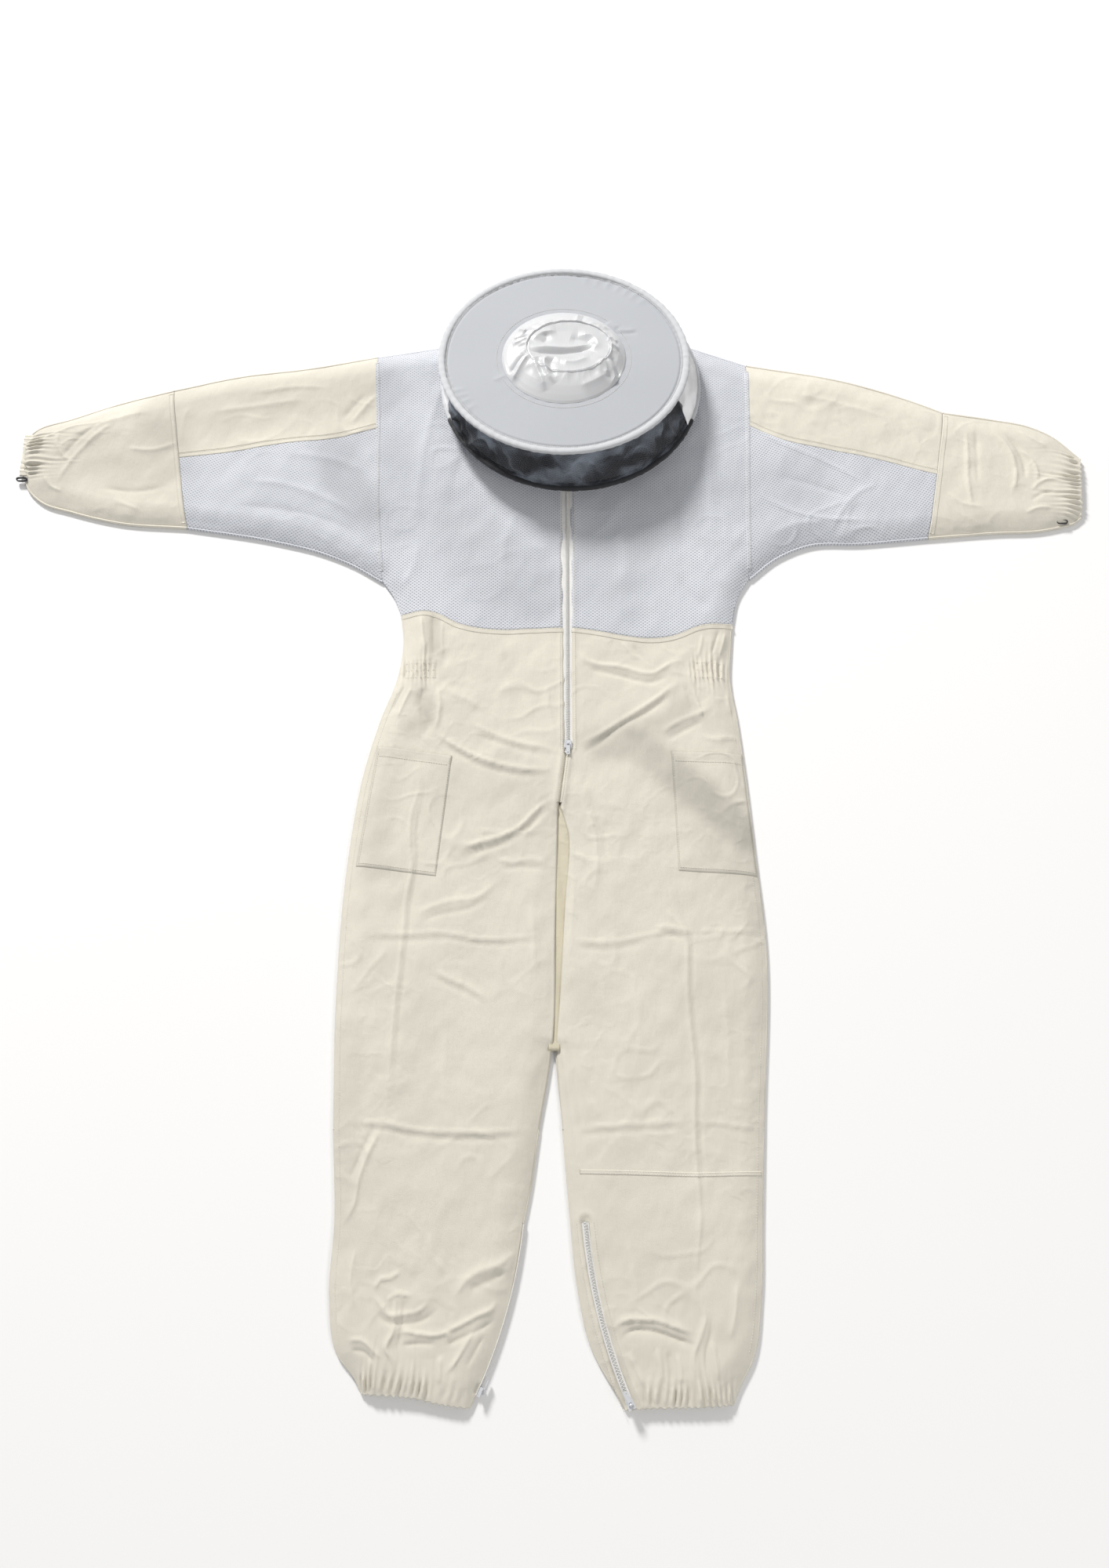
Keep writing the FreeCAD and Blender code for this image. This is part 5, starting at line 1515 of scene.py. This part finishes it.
def cuff(name, centre, width, degrees, material, seed):
    """A gathered end of a limb over flat elastic: an oval sleeve whose wall ripples round it.

    Around it the wall is a rounded box; the ripple is a sine of the distance round, held in at the
    two rows of stitches and free at the outer edge.
    """
    rows, sides = 22, 260
    c, s = math.cos(math.radians(degrees)), math.sin(math.radians(degrees))
    x, z = cross_section(sides, 0.42)
    half = width / 2 - 3.5
    ring = np.stack([x * half, z * 2.1], -1)
    round_length = np.r_[0, np.cumsum(np.linalg.norm(np.diff(np.r_[ring, ring[:1]], axis=0), axis=1))]
    q = round_length[:-1]
    laps = round(round_length[-1] / 8.2)
    out = np.stack([ring[:, 0] / half ** 2, ring[:, 1] / 4.4], -1)
    out /= np.linalg.norm(out, axis=1)[:, None]
    u = np.linspace(0, 1, rows)[:, None]
    draw = np.random.default_rng(seed)
    phase = draw.uniform(0, TAU, 3)
    turn = TAU * q / round_length[-1]
    wave = (np.sin(laps * turn + phase[0] + 0.8 * np.sin(3 * turn))
            + 0.4 * np.sin(round(laps * 1.7) * turn + phase[1]))[None]
    held = 1 - 0.55 * np.exp(-((u - 0.22) / 0.07) ** 2) - 0.55 * np.exp(-((u - 0.78) / 0.07) ** 2)
    ripple_out = 0.5 * wave * held
    ring = ring[None] + out[None] * ripple_out[..., None]
    reach = (u - 0.5) * 14 - 0.6 + 0.5 * wave * u ** 3
    plan_x = centre[0] + c * reach - s * ring[..., 0]
    plan_y = centre[1] + s * reach + c * ring[..., 0]
    points = np.stack([plan_x, plan_y, ring[..., 1] + 4.4], -1) * MM
    uv = np.stack([np.broadcast_to(q[None], reach.shape), reach], -1) * MM
    faces = grid_faces(rows, sides, True)
    piece = new_piece(name, points, faces[:, ::-1], material, uv)
    return thicken(piece, 0.0009)


def loop_band(name, centre, material):
    """A dark elastic loop standing on its edge: a bar swept round a rounded oblong."""
    turn = np.linspace(0, TAU, 97)
    x, y = np.cos(turn), np.sin(turn)
    half = (8.3, 2.9)
    line = np.stack([centre[0] + half[0] * np.sign(x) * np.abs(x) ** 0.6,
                     centre[1] + half[1] * np.sign(y) * np.abs(y) ** 0.6], -1) * MM
    line = along(line, np.linspace(0, 1, 90, endpoint=False))
    before, after = np.roll(line, 1, 0), np.roll(line, -1, 0)
    tangent = (after - before) / np.linalg.norm(after - before, axis=1)[:, None]
    left = np.stack([-tangent[:, 1], tangent[:, 0]], -1)
    a, b = cross_section(8, 0.5)
    plan = line[:, None] + left[:, None] * (a * 0.0006)[None, :, None]
    heights = np.broadcast_to((0.0064 + 0.0026 * b)[None, :, None], plan.shape[:2] + (1,))
    points = np.concatenate([plan, heights], -1)
    i, j = np.arange(90)[:, None], np.arange(8)[None]
    k, below = (j + 1) % 8, (i + 1) % 90
    faces = np.stack([i * 8 + j, i * 8 + k, below * 8 + k, below * 8 + j], -1).reshape(-1, 4)
    far = np.broadcast_to((np.arange(90) * 0.0005)[:, None], (90, 8))
    uv = np.stack([far, np.broadcast_to(b[None] * 0.004, (90, 8))], -1)
    return new_piece(name, points, faces, material, uv)


class SUIT_OT_elastics(bpy.types.Operator):
    """Gather the wrists, ankles and waist over their elastics, and add the thumb loops"""
    bl_idname = "suit.elastics"
    bl_label = "Elastics"

    def execute(self, context):
        for number, name in enumerate(SIDES):
            (centre, width, degrees), (low, low_width, low_degrees) = WRIST[name], ANKLE[name]
            wrist = cuff("wrist_cuff_" + name, centre, width, degrees, "canvas", 30 + number)
            settle(wrist, "forearm_" + name, replaces=("wrist_elastic_" + name,))
            ankle = cuff("ankle_cuff_" + name, low, low_width, low_degrees, "canvas", 40 + number)
            settle(ankle, "shin_" + name, replaces=("ankle_elastic_" + name,))
            loop = loop_band("thumb_loop_band_" + name, THUMB_LOOP[name], "black_elastic")
            settle(loop, "forearm_" + name, replaces=("thumb_loop_" + name,))
        bands, rows = [], []
        for name in SIDES:
            x, y = WAIST_BAND[name]
            for offset in (-12, 0, 12):
                line = along(straight((x - 24, y + offset), (x + 24, y + offset)), np.linspace(0, 1, 60))
                rows.append((line, 0, 0.0001))
            bands.append(along(straight((x - 23, y), (x + 23, y)), np.linspace(0, 1, 80)))
        points, faces, uv = swept(bands, 0.024, 0.0007, lambda p: front_height(p) - 0.0024, 10, 0.35)
        band = new_piece("waist_elastics", points, faces, "canvas", uv)
        settle(band, "coverall", replaces=("waist_elastic",))
        settle(stitching("stitches_waist", rows, front_height), "coverall")
        return {"FINISHED"}


class SUIT_OT_collar(bpy.types.Operator):
    """Make the collar band and the mesh skirt that carries the veil's hoop"""
    bl_idname = "suit.collar"
    bl_label = "Collar and skirt"

    def execute(self, context):
        place = ((NECK[0], NECK[1], 0), 0)
        collar = wheel("collar_fold", place, 87.3, 19.0, 1.4, 3.0, "canvas", count=260, flat=0.5, pucker=0.12)
        settle(collar, "coverall", replaces=("collar_band",))
        turn = np.linspace(0, TAU, 300, endpoint=False)[None]
        s = np.linspace(0, 1, 44)[:, None]
        ring = np.stack([np.cos(turn), np.sin(turn)], -1)[0]
        neck, shoulder = (np.c_[ring * r + np.array(NECK), np.full(300, z)] * MM
                          for r, z in ((86.8, 35.2), (106, 41.8)))
        edge = placed(np.c_[ring * 201.5, np.full(300, 0.6)] * MM, HOOP)
        rise = np.clip(s / 0.2, 0, 1)[..., None]
        run = np.clip((s - 0.2) / 0.8, 0, 1)[..., None]
        points = np.where(s[..., None] < 0.2, neck * (1 - rise) + shoulder * rise,
                          shoulder * (1 - run) + edge * run)
        folds = 0.0015 * np.sin(34 * turn + 2 * np.sin(5 * turn)) * (1 - s) ** 2 + 0.0010 * np.sin(
            9 * turn + 4 * s) * np.sin(math.pi * s)
        points[..., 2] += folds
        uv = np.stack(np.broadcast_arrays(turn * 0.14, s * 0.13), -1)
        skirt = new_piece("veil_skirt_cloth", points, grid_faces(44, 300, True), "spacer_mesh", uv)
        thicken(skirt, 0.0011)
        settle(skirt, "coverall", replaces=("veil_skirt",))
        return {"FINISHED"}


class SUIT_OT_veil(bpy.types.Operator):
    """Bind the hoop and hang the dark front net and the white back net"""
    bl_idname = "suit.veil"
    bl_label = "Veil"

    def execute(self, context):
        front = wheel("hoop_binding_front", HOOP, 205.5, 0, 3.9, 3.9, "dark_binding", 201, 339, 300,
                      pucker=0.25, seed=4)
        settle(front, "coverall", replaces=("veil_hoop_binding",))
        piping = wheel("hoop_piping", HOOP, 199.4, 1.6, 2.2, 2.2, "dark_binding", 201, 339, 300,
                       pucker=0.22, seed=5)
        settle(piping, "coverall")
        back = wheel("hoop_binding_back", HOOP, 205.5, 0, 3.7, 3.7, "hat_binding", -20.6, 200.6, 340,
                     pucker=0.25, seed=6)
        settle(back, "coverall", replaces=("veil_hoop_binding",))
        self.net("veil_net_front", "black_net", 203, 335, 300, 0.0068, 7, "veil_front")
        self.net("veil_net_back", "white_net", -25, 203, 340, 0.0018, 9, "veil_back")
        return {"FINISHED"}

    @staticmethod
    def net(name, material, first, last, columns, depth, seed, node):
        """A net wall from the hoop up to the brim: straight lines between the two circles, plus a
        bulge and seeded slanting folds that fade at both edges."""
        turn = np.radians(np.linspace(first, last, columns))[None]
        t = np.linspace(0, 1, 46)[:, None]
        ring = np.stack([np.cos(turn[0]), np.sin(turn[0])], -1)
        low = placed(np.c_[ring * 204.4, np.full(columns, 3.0)] * MM, HOOP)
        high = placed(np.c_[ring * 195.5, np.full(columns, -2.5)] * MM, HAT)
        points = low[None] * (1 - t[..., None]) + high[None] * t[..., None]
        draw = np.random.default_rng(seed)
        waves = sum(a * (1 - 2 * np.abs(np.sin(n * turn / 2 + m * t + draw.uniform(0, TAU))))
                    for n, m, a in ((11, 1.5, 0.55), (17, -2.5, 0.6), (29, 3.5, 0.45), (47, -4.5, 0.3),
                                    (73, 6.0, 0.16)))
        fade = np.sin(math.pi * t) ** 0.6
        push = (0.55 * fade + waves * fade) * depth
        points += np.concatenate([ring, np.zeros((columns, 1))], -1)[None] * push[..., None]
        points[..., 2] += 0.45 * depth * fade * np.sin(23 * turn - 4 * t)
        span = turn * 0.2
        tall = np.linalg.norm(high - low, axis=-1)[None] * t
        piece = new_piece(name, points, grid_faces(46, columns), material,
                          np.stack(np.broadcast_arrays(span, tall), -1))
        normal = np.array([0, math.sin(math.radians(8)), math.cos(math.radians(8))])
        base = np.array([HOOP[0][0], HOOP[0][1], 0]) * MM
        settle(piece,
               bend=("coverall", "hat", tuple(base + normal * 0.0455), tuple(base + normal * 0.0565)),
               replaces=(node,))


def ridged(plan, lines):
    """Sum of sharp ridges over points in plan, in mm: height * exp(-(d / width)^1.3), easing at the ends."""
    flat = plan.reshape(-1, 2)
    total = np.zeros(len(flat))
    for high, width, points in lines:
        far, _, share = distance(flat, smooth(points, 50))
        total += high * np.exp(-(far / (width * MM)) ** 1.3) * np.clip(np.minimum(share, 1 - share) * 5, 0, 1)
    return total.reshape(plan.shape[:-1])


class SUIT_OT_hat(bpy.types.Operator):
    """Make the brim, its rolled edge, the crumpled crown and the sweatband"""
    bl_idname = "suit.hat"
    bl_label = "Hat"

    def execute(self, context):
        self.brim()
        edge = wheel("brim_roll", HAT, 195.4, 0, 5.6, 3.6, "hat_binding", count=520, sides=14, pucker=0.28,
                     seed=11)
        settle(edge, "hat", replaces=("brim_binding",))
        band = wheel("sweatband_cloth", HAT, 96.4, -5.0, 0.9, 5.2, "hat_binding", count=220, flat=0.4,
                     pucker=0.05, seed=12)
        settle(band, "hat", replaces=("sweatband",))
        self.crown(context.scene.suit_head.crumple)
        rows = []
        for radius in (188.0, 107.5):
            count = int(TAU * radius / 3.6)
            angle = np.linspace(0, TAU, count, endpoint=False)
            spots = placed(np.stack([radius * np.cos(angle), radius * np.sin(angle),
                                     1.2 + self.wave(angle, radius)], -1) * MM, HAT)
            tangents = placed(np.stack([-np.sin(angle), np.cos(angle), np.zeros(count)], -1),
                              ((0, 0, 0), HAT[1]))
            ups = np.broadcast_to(placed(np.array([[0, 0, 1.0]]), ((0, 0, 0), HAT[1])), (count, 3))
            rows.append((spots, tangents, np.cross(ups, tangents), ups))
        spots, tangents, across, ups = (np.concatenate(part) for part in zip(*rows))
        points, faces = spindles(spots, tangents, across, ups, 0.0026, 0.0008, 0.0008)
        settle(new_piece("stitches_hat", points, faces, "thread"), "hat")
        return {"FINISHED"}

    @staticmethod
    def wave(angle, radius):
        """How far the brim's stiffened cloth waves off its plane, in mm."""
        share = np.clip((radius - 100) / 95, 0, 1)
        return share * (0.9 * np.sin(3 * angle + 0.6) + 0.5 * np.sin(7 * angle + 2.0))

    def brim(self):
        turn = np.linspace(0, TAU, 420, endpoint=False)[None]
        radius = np.r_[np.linspace(97, 180, 40), np.linspace(181, 193, 14)][:, None]
        tuck = 1.5 * np.exp(-((radius - 186.8) / 1.8) ** 2)
        puckers = 0.5 * np.exp(-((radius - 190) / 6.0) ** 2) * np.sin(96 * turn + 3 * np.sin(4 * turn))
        near_crown = 0.2 * np.exp(-(radius - 97) / 14) * np.sin(26 * turn + 2 * np.sin(3 * turn))
        high = self.wave(turn, radius) - tuck + puckers * (0.4 + 0.6 * np.sin(turn * 2 + 1) ** 2) + near_crown
        for angle, strong in ((44, 1.0), (50, 1.2), (55, 1.2), (60, 1.3), (66, 1.2), (72, 1.1), (78, 1.0),
                              (203, 1.3), (207, 1.4), (211, 1.3), (216, 1.0)):
            gap = (turn - math.radians(angle)) * radius
            high = high + strong * np.exp(-(np.abs(gap) / 4) ** 1.5) * np.clip((radius - 165) / 18, 0, 1)
        uv = np.stack([radius * np.cos(turn), radius * np.sin(turn)], -1) * MM
        high = high + ridged(uv, ((1.6, 5, [(68, 76), (78, 70), (88, 64)]),
                                  (-1.4, 5, [(80, 54), (98, 53), (120, 55)]),
                                  (1.4, 5, [(84, 60), (100, 59), (118, 61)]),
                                  (1.0, 4, [(-92, -38), (-104, -46), (-112, -50)])))
        points = placed(np.concatenate([uv, (0.8 + high)[..., None] * MM], -1), HAT)
        piece = new_piece("brim_cloth", points, grid_faces(54, 420, True)[:, ::-1], "hat_cloth", uv)
        thicken(piece, 0.0016)
        settle(piece, "hat", replaces=("hat_brim",))

    @staticmethod
    def crown(crumple):
        """The collapsed crown: rings that shrink from the brim's hole to an oval, then a lid that sags.

        Each ring's half-length, half-width, height and centre follow the share t up the crown. The
        pinches are waves round it, strongest beside the lid's seam; the folds are sharp ridges.
        """
        rows, columns = 120, 400
        turn = np.linspace(0, TAU, columns, endpoint=False)[None]
        t = np.linspace(0, 1, rows)[:, None]
        knots = [0, 0.06, 0.16, 0.30, 0.44, 0.51, 0.54, 0.60, 0.75, 1.0]
        long_half = np.interp(t, knots, [99, 97, 92, 84, 75, 70, 68, 63, 44, 0])
        wide_half = np.interp(t, knots, [99, 96, 88, 76, 63, 56.5, 54.5, 50, 35, 0])
        height = np.interp(t, knots, [0.2, 2.4, 6.0, 11.0, 15.2, 17.2, 17.6, 16.8, 15.6, 15.2])
        shift = np.interp(t, [0, 0.15, 0.54, 1], [0, 1.5, 8, 8])
        x, y = long_half * np.cos(turn) + shift, wide_half * np.sin(turn) + 0.9 * shift
        plan = np.stack([x, y], -1) * MM
        draw = np.random.default_rng(17)
        waves = sum(a * (1 - 2 * np.abs(np.sin(n * turn / 2 + m * t + draw.uniform(0, TAU))))
                    for n, m, a in ((9, 2.2, 0.4), (15, -2.6, 0.45), (26, 3.2, 0.35)))
        pinch = np.exp(-((t - 0.47) / 0.10) ** 2) * (0.75 + 0.45 * np.cos(turn - 2.7) ** 2)
        wall = np.clip(t * 4, 0, 1) * np.clip((1 - t) * 3, 0, 1)
        folds = crumple / MM * 0.35 * waves * pinch + 0.8 * np.sin(3 * turn + 5 * t) * wall
        folds = folds + 1.5 * ridged(plan - np.array([0, 0.010]), (
            (-3.4, 6, [(-58, -12), (-26, -15), (2, -15), (30, -10), (48, -4)]),
            (2.4, 7, [(-54, -4), (-24, -5), (6, -6), (34, 0), (50, 8)]),
            (3.4, 5, [(-24, -20), (-31, -34), (-29, -52), (-22, -68), (-14, -78)]),
            (-2.6, 6, [(-14, -22), (-21, -36), (-20, -52), (-12, -66)]),
            (4.0, 5, [(-54, -20), (-66, -36), (-76, -54), (-84, -68)]),
            (-3.0, 5, [(-58, -12), (-74, -32), (-86, -50)]),
            (3.0, 5, [(-50, -30), (-42, -52), (-35, -72), (-30, -90)]),
            (-2.6, 6, [(-44, -26), (-36, -48), (-30, -66)]),
            (3.4, 5, [(66, -26), (76, -44), (80, -64), (76, -76)]),
            (-3.2, 5, [(72, -22), (84, -42), (87, -58)]),
            (2.8, 4, [(58, -30), (66, -46), (68, -60)]),
            (2.2, 10, [(24, -84), (46, -72), (68, -56)]),
            (2.6, 4, [(-58, 16), (-72, 10), (-82, 8)]), (2.6, 4, [(-60, 32), (-66, 38), (-74, 42)]),
            (-2.2, 4, [(-58, 24), (-70, 22), (-80, 22)]),
            (2.4, 4, [(72, 18), (80, 12), (86, 10)]), (2.2, 4, [(74, 0), (82, -4), (88, -6)]),
            (2.0, 8, [(22, 22), (46, 20), (54, 4), (44, -12)]), (-2.0, 8, [(10, 16), (34, 10), (44, 2)]),
            (2.0, 7, [(-50, 10), (-36, 26), (-12, 32)]), (-2.0, 6, [(-34, 4), (-28, 16), (-30, 28)]),
            (1.6, 3, [(20, 48), (22, 66), (24, 84)]), (-1.6, 4, [(28, 50), (31, 66), (33, 82)]),
            (1.8, 6, [(-6, -34), (16, -36), (40, -26)]), (2.0, 6, [(40, 52), (58, 48), (72, 38)])))
        seam = 1.5 * np.exp(-((t - 0.535) / 0.011) ** 2) - 1.1 * np.exp(-((t - 0.562) / 0.010) ** 2)
        height = height + folds * np.clip(t / 0.10, 0, 1) + seam
        points = placed(np.concatenate([plan, (height + 0.8)[..., None] * MM], -1), HAT).reshape(-1, 3)
        plan = plan.reshape(-1, 2)
        last = (rows - 1) * columns
        points = np.concatenate([points[:last], points[last:].mean(0)[None]])
        faces = grid_faces(rows - 1, columns, True)
        j = np.arange(columns)
        fan = np.stack([np.full(columns, last), last - columns + j, last - columns + (j + 1) % columns], -1)
        uv = np.concatenate([plan[:last], plan[last:last + 1]])
        piece = new_piece("crown_satin", points, [faces, fan], "crown", uv)
        thicken(piece, 0.0014)
        settle(piece, "hat", replaces=("crown_side", "crown_top"))


class SUIT_OT_hardware(bpy.types.Operator):
    """Give the sliders, pulls and spring wires of the frame their finishes"""
    bl_idname = "suit.hardware"
    bl_label = "Sliders and wires"

    def execute(self, context):
        for name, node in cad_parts.items():
            if node.hide_render:
                continue
            metal = "spring_wire" if name.endswith("_wire") else "slider_enamel"
            node.data.materials.clear()
            node.data.materials.append(finish(metal))
        return {"FINISHED"}


class SUIT_PT_builder(bpy.types.Panel):
    """Lists the suit's sizes and the steps that make it"""
    bl_idname = "SUIT_PT_builder"
    bl_label = "Bee Suit"
    bl_space_type = "VIEW_3D"
    bl_region_type = "UI"
    bl_category = "Bee Suit"

    def draw(self, context):
        for group in GROUPS:
            values = getattr(context.scene, group)
            box = self.layout.box()
            for key in values.bl_rna.properties.keys():
                if key not in ("rna_type", "name"):
                    box.prop(values, key)
        for step in STEPS:
            self.layout.operator(step.bl_idname)


GROUPS = {"suit_cloth": SuitCloth, "suit_trims": SuitTrims, "suit_head": SuitHead, "suit_stage": SuitStage}
STEPS = (SUIT_OT_stage, SUIT_OT_backs, SUIT_OT_legs, SUIT_OT_chest, SUIT_OT_sleeves, SUIT_OT_seams,
         SUIT_OT_pockets, SUIT_OT_zips, SUIT_OT_elastics, SUIT_OT_veil, SUIT_OT_collar, SUIT_OT_hat,
         SUIT_OT_hardware)


def register():
    for group in GROUPS.values():
        bpy.utils.register_class(group)
    for step in STEPS:
        bpy.utils.register_class(step)
    bpy.utils.register_class(SUIT_PT_builder)
    for name, group in GROUPS.items():
        setattr(bpy.types.Scene, name, bpy.props.PointerProperty(type=group))


def unregister():
    for name in GROUPS:
        delattr(bpy.types.Scene, name)
    bpy.utils.unregister_class(SUIT_PT_builder)
    for step in reversed(STEPS):
        bpy.utils.unregister_class(step)
    for group in GROUPS.values():
        bpy.utils.unregister_class(group)


def main():
    register()
    for step in STEPS:
        family, action = step.bl_idname.split(".")
        getattr(getattr(bpy.ops, family), action)()


if __name__ == "__main__":
    main()
